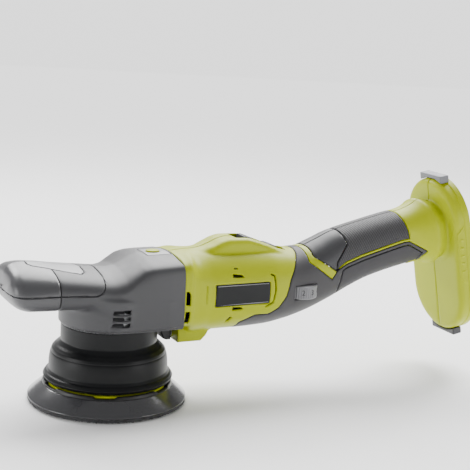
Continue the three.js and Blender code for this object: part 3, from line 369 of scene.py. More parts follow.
def walled(patch: Patch, wall: float, roll: float, lift: float = 0.0) -> Patch:
    """Gives a patch a wall, with its rim rolled under.

    A vertex at a distance r < roll from the rim drops along its normal by
    roll - sqrt(roll squared - (roll - r) squared). The inner face is the outer one moved
    inwards by the wall, and quads between the two follow each edge that has one triangle.

    Args:
        patch: The outer face.
        wall: Thickness.
        roll: Radius of the rolled rim.
        lift: Distance by which the whole patch stands proud.

    Returns:
        A closed patch.
    """
    count = len(patch.points)
    rim = np.clip(patch.values["rim"], 0, roll)
    drop = roll - np.sqrt(np.maximum(roll**2 - (roll - rim) ** 2, 0)) if roll > 0 else rim * 0
    outer = patch.points + patch.normals * (lift - drop)[:, None]
    inner = patch.points - patch.normals * (wall - lift)
    tri = patch.triangles
    edges = np.concatenate([tri[:, [0, 1]], tri[:, [1, 2]], tri[:, [2, 0]]])
    key = np.sort(edges, axis=1)
    _, index, times = np.unique(key, axis=0, return_inverse=True, return_counts=True)
    open_edge = edges[times[index.reshape(-1)] == 1]
    a, b = open_edge[:, 0], open_edge[:, 1]
    sides = np.concatenate([
        np.stack([b, a, a + count], -1), np.stack([b, a + count, b + count], -1)])
    return Patch(
        np.concatenate([outer, inner]),
        np.concatenate([patch.normals, -patch.normals]),
        np.concatenate([tri, tri[:, ::-1] + count, sides]),
        {n: np.concatenate([v, v]) for n, v in patch.values.items()},
    )


def joined(patches: Iterable[Patch]) -> Patch:
    """Several patches as one."""
    parts = list(patches)
    start = np.cumsum([0] + [len(p.points) for p in parts[:-1]])
    names = set(parts[0].values)
    for p in parts[1:]:
        names &= set(p.values)
    return Patch(
        np.concatenate([p.points for p in parts]),
        np.concatenate([p.normals for p in parts]),
        np.concatenate([p.triangles + s for p, s in zip(parts, start)]),
        {n: np.concatenate([p.values[n] for p in parts]) for n in names},
    )


def closed(grid: Array, **extra: Array) -> Patch:
    """A grid whose own edges meet, or close at poles, as a patch with no cut."""
    patch = trimmed(grid, np.full(grid.shape[:2], 99.0), **extra)
    return patch


def mesh_of(name: str, patch: Patch, crease: float = 34.0) -> bpy.types.Mesh:
    """Writes a patch to a mesh in metres.

    Args:
        name: Name of the mesh.
        patch: Points in millimetres.
        crease: Edges that turn by more than this many degrees stay sharp.

    Returns:
        The mesh, with each value of the patch as a float attribute.
    """
    mesh = bpy.data.meshes.new(name)
    tri = patch.triangles
    mesh.vertices.add(len(patch.points))
    mesh.vertices.foreach_set("co", (patch.points * MM).astype(np.float32).ravel())
    mesh.loops.add(tri.size)
    mesh.loops.foreach_set("vertex_index", tri.astype(np.int32).ravel())
    mesh.polygons.add(len(tri))
    mesh.polygons.foreach_set("loop_start", np.arange(0, tri.size, 3, dtype=np.int32))
    mesh.update(calc_edges=True)
    mesh.validate()
    for label, value in patch.values.items():
        if len(mesh.vertices) == len(value):
            mesh.attributes.new(label, "FLOAT", "POINT").data.foreach_set(
                "value", value.astype(np.float32))
    mesh.polygons.foreach_set("use_smooth", np.ones(len(mesh.polygons), bool))
    mesh.set_sharp_from_angle(angle=math.radians(crease))
    return mesh


def place(name: str, mesh: bpy.types.Mesh, finish: "Finish", body: str,
          stands_for: Sequence[str] = ()) -> bpy.types.Object:
    """Makes a piece, dresses it and lets it ride.

    Args:
        name: Name of the piece.
        mesh: Its mesh.
        finish: What it is made of.
        body: CAD body that it moves with.
        stands_for: CAD nodes that it replaces.

    Returns:
        The object.
    """
    piece = bpy.data.objects.new(name, mesh)
    bpy.context.scene.collection.objects.link(piece)
    mesh.materials.clear()
    mesh.materials.append(finish.material())
    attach(piece, body)
    if stands_for:
        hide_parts(*stands_for)
    log.info("%s: %d faces", name, len(mesh.polygons))
    return piece


def turned_profile(profile: Sequence[Sequence[float]], around: int, centre: Sequence[float] = (0, 0),
                   squash: float = 1.0) -> Patch:
    """A profile of radius and height turned about a vertical axis.

    Args:
        profile: Closed line of (radius, height), going up the outside.
        around: Segments.
        centre: Where the axis stands.
        squash: Width along Y as a share of the width along X.

    Returns:
        Points (r cos a, squash r sin a, z) moved to the centre.
    """
    line = np.asarray(profile, float)
    a = np.linspace(0, FULL_TURN, around + 1)
    r, z = line[:, 0][:, None], line[:, 1][:, None]
    grid = np.stack([
        centre[0] + r * np.cos(a), centre[1] + squash * r * np.sin(a), z + 0 * a], -1)
    return closed(grid)


def softened(corners: Sequence[Sequence[float]], radius: float, steps: int = 5,
             ring: bool = True) -> Array:
    """A line of corners with each corner rounded.

    Each corner is replaced by the curve (1-t)^2 p + 2t(1-t) c + t^2 q, which starts and ends
    radius away from the corner c, or nearly half way along a short side.

    Args:
        corners: Points of the line.
        radius: How far from a corner the rounding starts.
        steps: Points per corner, less one.
        ring: Whether the line closes on itself.

    Returns:
        The rounded line, closed if ring is set.
    """
    c = np.asarray(corners, float)
    before, after = np.roll(c, 1, axis=0) - c, np.roll(c, -1, axis=0) - c
    def cut(side: Array) -> Array:
        """A point on the side, radius away from the corner."""
        size = np.linalg.norm(side, axis=1, keepdims=True)
        return c + side / np.maximum(size, 1e-9) * np.minimum(radius, 0.48 * size)
    t = np.linspace(0, 1, steps + 1)[:, None, None]
    p, q = cut(before), cut(after)
    if not ring:
        p[0] = q[0] = c[0]
        p[-1] = q[-1] = c[-1]
    line = ((1 - t) ** 2 * p + 2 * t * (1 - t) * c + t * t * q).transpose(1, 0, 2).reshape(-1, 2)
    return np.concatenate([line, line[:1]]) if ring else line


# ------------------------------------------------------------------ shader maths


class Value:
    """A number socket on which Python's operators add Math nodes."""

    def __init__(self, wall: "Wall", socket: bpy.types.NodeSocket) -> None:
        """Wraps a socket of a material's node tree."""
        self.wall = wall
        self.socket = socket

    def _math(self, operation: str, first: object, second: object = None) -> "Value":
        """Adds one Math node and wraps its result."""
        inputs = {0: first} if second is None else {0: first, 1: second}
        return self.wall.node("ShaderNodeMath", {"operation": operation}, inputs)

    def __add__(self, other: object) -> "Value":
        """self + other."""
        return self._math("ADD", self, other)

    __radd__ = __add__

    def __mul__(self, other: object) -> "Value":
        """self * other."""
        return self._math("MULTIPLY", self, other)

    __rmul__ = __mul__

    def __sub__(self, other: object) -> "Value":
        """self - other."""
        return self._math("SUBTRACT", self, other)

    def __rsub__(self, other: object) -> "Value":
        """other - self."""
        return self._math("SUBTRACT", other, self)

    def __truediv__(self, other: object) -> "Value":
        """self / other."""
        return self._math("DIVIDE", self, other)

    def __pow__(self, other: object) -> "Value":
        """self to the power other."""
        return self._math("POWER", self, other)

    def sine(self) -> "Value":
        """Sine of self, in radians."""
        return self._math("SINE", self)

    def size(self) -> "Value":
        """self without its sign."""
        return self._math("ABSOLUTE", self)

    def over(self, edge: float, soft: float) -> "Value":
        """0 below edge - soft, 1 above edge + soft, and smooth between them."""
        return self.wall.node("ShaderNodeMapRange", {"interpolation_type": "SMOOTHSTEP"},
                              {0: self, 1: edge - soft, 2: edge + soft, 3: 0.0, 4: 1.0})


class Wall:
    """A material under construction, with one method that adds any node."""

    def __init__(self, name: str) -> None:
        """Starts an empty material with a Principled shader."""
        self.material = bpy.data.materials.new(name)
        self.material.use_nodes = True
        self.tree = self.material.node_tree
        self.tree.nodes.clear()
        self.shader = self.tree.nodes.new("ShaderNodeBsdfPrincipled")
        output = self.tree.nodes.new("ShaderNodeOutputMaterial")
        self.tree.links.new(self.shader.outputs[0], output.inputs[0])

    def node(self, kind: str, settings: dict, inputs: dict, output: object = 0) -> Value:
        """Adds a node.

        Args:
            kind: Blender's name for the node's type.
            settings: Properties that are set first. "stops" fills a colour ramp.
            inputs: Socket name or number to a number, a tuple or a Value.
            output: Which output to wrap.

        Returns:
            The wrapped output.
        """
        made = self.tree.nodes.new(kind)
        for key, setting in settings.items():
            if key == "stops":
                ramp = made.color_ramp.elements
                while len(ramp) < len(setting):
                    ramp.new(0.5)
                for element, (place_, colour) in zip(ramp, setting):
                    element.position = place_
                    element.color = (*colour, 1.0)
            else:
                setattr(made, key, setting)
        for key, given in inputs.items():
            if isinstance(given, Value):
                self.tree.links.new(given.socket, made.inputs[key])
            else:
                made.inputs[key].default_value = given
        return Value(self, made.outputs[output])

    def place_in(self, scale: Sequence[float] = (1, 1, 1), turn: Sequence[float] = (0, 0, 0)
                 ) -> Value:
        """Object coordinates in metres, scaled and then turned."""
        raw = self.node("ShaderNodeTexCoord", {}, {}, "Object")
        return self.node("ShaderNodeMapping", {}, {
            "Vector": raw, "Scale": tuple(scale), "Rotation": tuple(turn)})

    def part(self, vector: Value, axis: str) -> Value:
        """One coordinate of a vector."""
        return self.node("ShaderNodeSeparateXYZ", {}, {0: vector}, axis)

    def noise(self, size_mm: float, detail: float = 3.0, stretch: Sequence[float] = (1, 1, 1)
              ) -> Value:
        """Noise from 0 to 1 whose blobs are about size_mm across."""
        return self.node("ShaderNodeTexNoise", {}, {
            "Vector": self.place_in(stretch), "Scale": 1 / (size_mm * MM), "Detail": detail,
            "Roughness": 0.55}, "Fac")

    def attribute(self, name: str) -> Value:
        """A float stored on the mesh."""
        return self.node("ShaderNodeAttribute", {"attribute_name": name}, {}, "Fac")

    def blend(self, share: Value, low: object, high: object) -> Value:
        """Colour mix: low where share is 0 and high where it is 1."""
        made = self.tree.nodes.new("ShaderNodeMix")
        made.data_type = "RGBA"
        for socket, given in ((made.inputs[0], share), (made.inputs[6], low),
                              (made.inputs[7], high)):
            if isinstance(given, Value):
                self.tree.links.new(given.socket, socket)
            else:
                socket.default_value = (*given, 1.0) if isinstance(given, tuple) else given
        return Value(self, made.outputs[2])

    def feed(self, **sockets: object) -> None:
        """Sets or links inputs of the Principled shader, by name with _ for a space."""
        for key, given in sockets.items():
            socket = self.shader.inputs[key.replace("_", " ")]
            if isinstance(given, Value):
                self.tree.links.new(given.socket, socket)
            else:
                socket.default_value = (*given, 1.0) if isinstance(given, tuple) else given

    def bump(self, height: Value, depth_mm: float, strength: float = 1.0) -> None:
        """Raises the surface by up to depth_mm where height is 1."""
        normal = self.node("ShaderNodeBump", {}, {
            "Height": height, "Distance": depth_mm * MM, "Strength": strength})
        self.tree.links.new(normal.socket, self.shader.inputs["Normal"])


class Finish:
    """Something a piece is made of. The same finish gives the same material."""

    _made: dict = {}

    def material(self) -> bpy.types.Material:
        """The material, made the first time it is asked for."""
        key = repr(self)
        if key not in Finish._made:
            wall = Wall(getattr(self, "name", type(self).__name__))
            self.dress(wall)
            Finish._made[key] = wall.material
        return Finish._made[key]

    def dress(self, wall: Wall) -> None:
        """Adds the nodes."""
        raise NotImplementedError


@dataclass(frozen=True)
class Moulding(Finish):
    """Moulded plastic: a fine sparked grain, slow colour drift and faint scuffs.

    Attributes:
        name: Name of the material.
        colour: Base colour.
        rough: Mean roughness.
        grain_mm: Size of the sparked grain.
        grain_depth: Height of the grain, in millimetres.
        coat: Clear gloss over the colour.
        drift: How much lighter and darker the colour gets.
        shine: Strength of the surface reflection.
    """

    name: str
    colour: Colour
    rough: float = 0.45
    grain_mm: float = 0.5
    grain_depth: float = 0.012
    coat: float = 0.0
    drift: float = 0.1
    shine: float = 0.5

    def dress(self, wall: Wall) -> None:
        """Colour drifts over 40 mm, roughness over 7 mm, and the grain is bump."""
        slow = wall.noise(40, 2.0)
        scuff = wall.noise(7, 4.0)
        dark = tuple(c * (1 - self.drift) for c in self.colour)
        light = tuple(min(1.0, c * (1 + self.drift)) for c in self.colour)
        wall.feed(
            Base_Color=wall.blend(slow, dark, light),
            Roughness=self.rough - 0.06 + 0.12 * scuff,
            Coat_Weight=self.coat, Coat_Roughness=0.25, Specular_IOR_Level=self.shine)
        wall.bump(wall.noise(self.grain_mm, 2.0), self.grain_depth)


@dataclass(frozen=True)
class Rubber(Finish):
    """Moulded rubber with a dull bloom and fine pores."""

    name: str
    colour: Colour
    rough: float = 0.5
    sheen: float = 0.15
    shine: float = 0.4

    def dress(self, wall: Wall) -> None:
        """Bloom lightens the colour in patches, and pores of 0.4 mm are bump."""
        bloom = wall.noise(16, 4.0)
        light = tuple(c * 1.35 + 0.001 for c in self.colour)
        wall.feed(
            Base_Color=wall.blend(bloom, self.colour, light),
            Roughness=self.rough - 0.05 + 0.13 * bloom,
            Sheen_Weight=self.sheen, Sheen_Roughness=0.5, Specular_IOR_Level=self.shine)
        wall.bump(wall.noise(0.4, 2.0), 0.012)


@dataclass(frozen=True)
class Knurl(Finish):
    """Soft grip with fine slanting cross ribs, and painted shade in the valleys between them.

    Attributes:
        name: Name of the material.
        colour: Colour of the raised ribs.
        pitch_mm: Distance between ribs.
        slant: Turn of the ribs about Y, in radians.
    """

    name: str
    colour: Colour
    pitch_mm: float = 1.9
    slant: float = 0.5

    def dress(self, wall: Wall) -> None:
        """Height is |sin u| times |sin v| with u and v at two slants, with painted shade darkening its
        valleys.
        """
        wave = math.pi / (self.pitch_mm * MM)
        one = wall.part(wall.place_in(turn=(0, self.slant, 0)), "X") * wave
        two = wall.part(wall.place_in(turn=(0, self.slant - 1.35, 0)), "X") * wave
        rib = one.sine().size() * (two.sine().size() * 0.5 + 0.5)
        # Painted shade: the valleys between the ribs are darkened to 0.3 of the rib colour.
        dark = tuple(c * 0.3 for c in self.colour)
        wall.feed(
            Base_Color=wall.blend(rib.over(0.35, 0.3), dark, self.colour),
            Roughness=0.62 + 0.12 * wall.noise(6, 3.0), Sheen_Weight=0.1)
        wall.bump(rib, 0.28)


@dataclass(frozen=True)
class Steel(Finish):
    """Machined or drawn metal with fine tool marks along one axis."""

    name: str
    colour: Colour = (0.56, 0.57, 0.58)
    rough: float = 0.3
    along: tuple[float, float, float] = (0.06, 1, 1)

    def dress(self, wall: Wall) -> None:
        """Streaks are noise stretched along the tool's path."""
        streak = wall.noise(0.5, 3.0, self.along)
        stain = wall.noise(9, 3.0)
        dark = tuple(c * 0.75 for c in self.colour)
        wall.feed(
            Base_Color=wall.blend(stain, dark, self.colour), Metallic=1.0,
            Roughness=self.rough - 0.08 + 0.16 * streak)
        wall.bump(streak, 0.01)


@dataclass(frozen=True)
class Cast(Finish):
    """Die-cast alloy with a pebbled skin."""

    name: str
    colour: Colour = (0.48, 0.49, 0.5)

    def dress(self, wall: Wall) -> None:
        """Pebbles are cell distances 1.5 mm apart, with dull patches over them."""
        cell = wall.node("ShaderNodeTexVoronoi", {}, {
            "Vector": wall.place_in(), "Scale": 1 / (1.5 * MM)}, "Distance")
        patch = wall.noise(11, 3.0)
        wall.feed(
            Base_Color=wall.blend(patch, tuple(c * 0.7 for c in self.colour), self.colour),
            Metallic=1.0, Roughness=0.5 + 0.15 * patch)
        wall.bump(cell, 0.08)


@dataclass(frozen=True)
class HookNylon(Finish):
    """Woven nylon ground that carries the hooks."""

    name: str = "hook nylon"
    colour: Colour = (0.012, 0.012, 0.013)

    def dress(self, wall: Wall) -> None:
        """A plain weave: the product of two sines 1.1 mm apart, which raises the threads in bump and
        lightens them as a painted highlight, the gaps between them staying darker.
        """
        wave = math.pi / (1.1 * MM)
        at = wall.place_in()
        weave = (wall.part(at, "X") * wave).sine().size() * (wall.part(at, "Y") * wave).sine().size()
        # Painted highlight: the raised threads are lightened to five times the nylon's colour.
        light = tuple(c * 5 for c in self.colour)
        wall.feed(Base_Color=wall.blend(weave, self.colour, light), Roughness=0.7 + 0.1 * weave,
                  Sheen_Weight=0.3)
        wall.bump(weave, 0.3)


@dataclass(frozen=True)
class Spun(Finish):
    """Smooth plate moulding with faint rings from its mould, centred on the plate."""

    name: str
    colour: Colour
    centre_mm: tuple[float, float] = (0, 0)
    rough: float = 0.3

    def dress(self, wall: Wall) -> None:
        """Rings are noise of the distance from the axis, and carry into roughness and bump."""
        raw = wall.node("ShaderNodeTexCoord", {}, {}, "Object")
        x = wall.part(raw, "X") - self.centre_mm[0] * MM
        y = wall.part(raw, "Y") - self.centre_mm[1] * MM
        radius = (x * x + y * y) ** 0.5
        line = wall.node("ShaderNodeCombineXYZ", {}, {0: radius})
        ring = wall.node("ShaderNodeTexNoise", {}, {
            "Vector": line, "Scale": 1500.0, "Detail": 3.0}, "Fac")
        patch = wall.noise(14, 3.0)
        wall.feed(
            Base_Color=wall.blend(patch, tuple(c * 0.8 for c in self.colour), self.colour),
            Roughness=self.rough - 0.03 + 0.06 * patch, Specular_IOR_Level=0.8,
            Coat_Weight=0.5, Coat_Roughness=0.16)
        wall.bump(ring, 0.02)


LIME = Moulding("lime casing", (0.38, 0.43, 0.0), rough=0.42, grain_mm=0.6, grain_depth=0.01,
                shine=0.2, drift=0.05)
HEAD_GREY = Moulding("head grey", srgb(64, 64, 66), rough=0.44, grain_depth=0.02, shine=0.35)
CAP_GREY = Moulding("nose cap grey", srgb(68, 68, 70), rough=0.34, grain_depth=0.012)
LIGHT_GREY = Moulding("light grey inlay", srgb(132, 132, 134), rough=0.38)
WAIST_GREY = Rubber("waist overmould", srgb(58, 57, 59), rough=0.52, sheen=0.03, shine=0.3)
PANEL_GREY = Rubber("palm panel", srgb(50, 49, 52), rough=0.55, sheen=0.03, shine=0.3)
PAD_GREY = Rubber("grip pad", srgb(56, 56, 58), rough=0.44, sheen=0.03, shine=0.3)
KNURL_GREY = Knurl("grip knurl", srgb(60, 59, 62))
BOOT_BLACK = Rubber("boot rubber", srgb(14, 15, 16), rough=0.4, sheen=0.0, shine=0.2)
BLACK = Moulding("black plastic", srgb(22, 22, 23), rough=0.4, shine=0.35)
DARK = Moulding("dark plastic", srgb(50, 50, 53), rough=0.45)
LABEL = Moulding("label film", srgb(26, 27, 28), rough=0.4, grain_mm=0.3, grain_depth=0.004,
                 shine=0.2)
LABEL_EDGE = Moulding("label border", srgb(128, 129, 130), rough=0.35)
DIAL = Moulding("dial grey", srgb(122, 122, 125), rough=0.4, coat=0.1)
MARK = Moulding("dial marks", srgb(46, 46, 48), rough=0.5)
BUMPER = Moulding("bumper grey", srgb(112, 113, 118), rough=0.5)
STEEL = Steel("machined steel")
TURNED = Steel("turned steel", along=(1, 1, 0.06))
CAST = Cast("cast alloy")
COPPER = Steel("copper and core", colour=(0.62, 0.33, 0.2), rough=0.4)
BRASS = Steel("stamped brass", colour=(0.72, 0.55, 0.26), rough=0.35)
CARBON = Moulding("pressed carbon", srgb(44, 44, 46), rough=0.6)
LEAD = Rubber("lead insulation", srgb(150, 30, 28), rough=0.45)
HOOKS = HookNylon()


# ------------------------------------------------------------------ the head


@dataclass
class Head:
    """Front grip, head cover, vents, inlay, top panel and lock button."""

    tube: Tube = Tube((
        (-87.6, 97, 98, 0.5, 2.2), (-87.5, 93.5, 101.5, 12, 2.6), (-87, 91, 103.3, 21.5, 2.9),
        (-85.5, 86.6, 107.2, 29, 3.3), (-82.5, 82.4, 110.8, 33.4, 3.7), (-78, 79.8, 112.8, 36, 4),
        (-72, 78.7, 113.3, 36.9, 4.2), (-60, 78.5, 112.3, 37.5, 4.2), (-42, 78.5, 109.6, 37.9, 4.2),
        (-28, 78.5, 108, 38.5, 4.2), (-16, 74.5, 106.8, 39.2, 4.2), (-7, 68.5, 106.1, 39.7, 4.2),
        (1, 66.1, 106.8, 40, 4.4), (8, 64.1, 110, 40, 4.6), (15, 62.9, 113.3, 40, 4.8),
        (22, 62.1, 115.3, 40, 5), (32, 61.5, 115.6, 39.7, 5), (47, 61.5, 115.7, 38.5, 5)))
    ridge: tuple = (
        (-90, 105), (-60, 105), (-40, 103.6), (-22, 101.4), (-8, 99.2), (-1, 99.8), (9, 105),
        (16, 109), (30, 110.8), (47, 111.4))
    ridge_soft: tuple = ((-90, 12), (-40, 10), (-8, 9), (4, 6), (16, 3.5), (47, 3.5))
    middle: float = 93.8
    collar_radius: float = 40.0
    collar_low: float = 60.5
    collar_high: float = 84.5
    back: float = 47.0
    nose_back: float = -52.0
    seam: float = 92.7
    gap: float = 0.2
    wall: float = 1.4
    cover: tuple = ((-52, 92.7), (-26, 91.5), (-23, 92), (-20.5, 93.4), (-18.4, 95.6),
                    (-16.2, 99.4), (-14.8, 103.4), (-14.7, 107), (-15.4, 111), (-17.5, 130),
                    (-52, 130))
    inlay: tuple = ((-69, 6), (-69, -6), (-66, -9.5), (-31, -20), (-27, -15), (-26, 0), (-27, 15),
                    (-31, 20), (-66, 9.5))
    panel: tuple = ((25.5, -11), (45.5, -11), (45.5, 11), (25.5, 11))
    button: tuple = (34.0, 5.6, 4.8, 116.9)
    vent_heights: tuple = (77.9, 72.8, 67.6)
    grid: Array = field(default=None, repr=False)

    def depth(self, p: Array) -> Array:
        """Field of the grip's tube melded with the collar.

        Args:
            p: Points.

        Returns:
            The tube, its two upper shoulders cut by planes that pass through the ridge at each
            side and the top's middle third, melded with a prism that is half round in front, draws in by 1.5 mm at the back, and steps in by 1.3 mm above its bottom edge.
        """
        x, y, z = np.moveaxis(p, -1, 0)
        middle, rise, half, _ = self.tube.section(x)
        ridge = np.array(self.ridge)
        soft = np.array(self.ridge_soft)
        low = through(ridge[:, 0], ridge[:, 1:], x)[..., 0]
        fall = (middle + rise - low) / (half - 13)
        slope = (z - low + (np.abs(y) - half) * fall) / np.sqrt(1 + fall**2)
        reach = through(soft[:, 0], soft[:, 1:], x)[..., 0]
        tube = common(self.tube.depth(p), slope, reach)
        draw = 1.5 * ease(x, 33, self.back)
        step = 1.3 * (1 - ease(z, 62.2, 63.0))
        plan = np.where(x < 0, np.hypot(x, y), np.abs(y)) - self.collar_radius + draw + step
        prism = common(plan, np.maximum(self.collar_low - z, z - self.collar_high), 1.0)
        return meld(tube, prism, 0.05 + 6 * (1 - ease(x, -8, 12)))

    def solve(self) -> None:
        """Casts the rays: a fan that closes the nose, then planes along the head.

        Rays that point down lean forwards by up to 42 degrees where the collar's round front
        has to be met square on.
        """
        around = 256
        a = np.linspace(0, FULL_TURN, around + 1)
        lean = np.radians(np.concatenate([
            [90], np.linspace(86, 14, 30), np.linspace(12, 2, 7)]))[:, None]
        nose_way = np.stack([
            -np.sin(lean) + 0 * a, np.cos(lean) * np.cos(a), np.cos(lean) * np.sin(a)], -1)
        nose = np.broadcast_to([-70.0, 0, self.middle + 1.5], nose_way.shape)
        x = np.concatenate([np.linspace(-70, 46, 140), [46.4, 46.7, self.back - 0.001]])[:, None]
        knots = np.array([-56.0, -40, -18, -8, 12, 32])
        tilt = np.radians(through(knots, np.array([[0.0], [17], [40], [42], [18], [0]]), x)[..., 0])
        tilt = tilt * ease(-np.sin(a), 0.15, 0.85)
        way = np.stack([-np.sin(tilt), np.cos(tilt) * np.cos(a), np.cos(tilt) * np.sin(a)], -1)
        axis = np.stack([x + 0 * a, 0 * x + 0 * a, np.full((len(x), around + 1), self.middle)], -1)
        axis[..., 2] += 1.5 * (1 - ease(axis[..., 0], -70, -50))
        self.grid = np.concatenate([
            cast(nose, nose_way, self.depth, 90), cast(axis, way, self.depth, 90)])

    def piece(self, name: str, keep: Array, finish: Finish, slot: str, nodes: Sequence[str],
              roll: float = 0.7, lift: float = 0.0, wall: Optional[float] = None) -> None:
        """Trims the head's skin and makes one piece of it."""
        patch = walled(trimmed(self.grid, keep), self.wall if wall is None else wall, roll, lift)
        place(name, mesh_of(name, patch), finish, "housing", nodes)

    def build(self) -> None:
        """Builds every shell of the head."""
        self.solve()
        x, y, z = np.moveaxis(self.grid, -1, 0)
        above = z - (self.middle + 6)
        cover = inside(self.cover, x, z)
        inlay = np.minimum(inside(self.inlay, x, y), above)
        panel = np.minimum(inside(self.panel, x, y), above)
        bx, half_x, half_y, _ = self.button
        oval = (np.hypot((x - bx) / half_x, y / half_y) - 1) * half_y
        oval = np.where(above > 0, oval, 99)
        vents = np.min([inside(((-12, h - 1.5), (2.2, h - 1.5), (2.2, h + 1.5), (-12, h + 1.5)), x, z) * -1 for h in self.vent_heights], 0)
        vents = np.where(np.abs(y) > 20, vents, 99)
        boot_hole = np.where(z < 66, np.hypot(x, y) - 37.9, 99)
        body = np.min([
            x - self.nose_back - self.gap, -cover - self.gap, -inlay - 0.35, -panel - self.gap,
            vents, oval - self.gap, boot_hole, self.back - x + 0.3], axis=0)
        self.piece("head_cover", body, HEAD_GREY, "head_grey", ["head_cover"])
        self.piece("front_grip_cover", np.minimum(cover - self.gap, -inlay - 0.35), HEAD_GREY,
                   "head_grey", ["front_grip_cover"])
        front = self.nose_back - x - 0.4
        self.piece("nose_cap_upper", np.min([front, z - self.seam - self.gap, -inlay - 0.35], 0),
                   CAP_GREY, "head_grey", ["nose_cap_upper"])
        self.piece("nose_cap_lower", np.minimum(front, self.seam - z - self.gap), CAP_GREY,
                   "head_grey", ["nose_cap_lower"])
        self.piece("grip_inlay", inlay - 0.35, LIGHT_GREY, "light_grey", ["grip_inlay"])
        self.piece("head_top_panel", np.minimum(panel, oval) - self.gap, LIGHT_GREY, "light_grey",
                   ["head_top_panel"], roll=0.4)
        self.louvres()
        self.lock_button()

    def louvres(self) -> None:
        """Slanting blades just inside the vents, one to each slot and side.

        Each blade is a thin rounded bar along X, tilted so that its outer edge is lower.
        """
        parts = []
        for side in (-1, 1):
            for height in self.vent_heights:
                line = softened([(-1.9, -0.3), (1.9, -0.3), (1.9, 0.3), (-1.9, 0.3)], 0.2, 3)
                along = np.linspace(-12.6, -2.2, 12)[:, None]
                across = line[:, 0] * 0.8
                up = line[:, 1] + line[:, 0] * 0.62
                grid = np.stack([
                    along + 0 * across, side * (36.7 - across) + 0 * along,
                    height - 0.35 + up + 0 * along], -1)
                if side > 0:
                    grid = grid[:, ::-1]
                parts.append(walled(trimmed(grid, np.full(grid.shape[:2], 99.0)), 0.1, 0))
        place("vent_louvres", mesh_of("vent_louvres", joined(parts)), HEAD_GREY, "housing")

    def lock_button(self) -> None:
        """An oval button with a domed top: height falls by 0.5 r squared towards its rim."""
        bx, half_x, half_y, top = self.button
        r = np.linspace(0, 1, 14)
        dome = [(half_x * s * 0.94, top - 0.55 * s * s) for s in r]
        side = [(half_x, top - 1.4), (half_x, 110.2), (half_x + 1.2, 110.2), (half_x + 1.2, 108.4),
                (0, 108.4)]
        profile = [(0, 108.4)] + [(a, b) for a, b in reversed(side[:-1])] + dome[::-1]
        patch = turned_profile(profile, 72, (bx, 0), half_y / half_x)
        place("spindle_lock_button", mesh_of("spindle_lock_button", patch), LIME, "lock_button",
              ["spindle_lock_button"])


# ------------------------------------------------------------------ housing, handle and foot


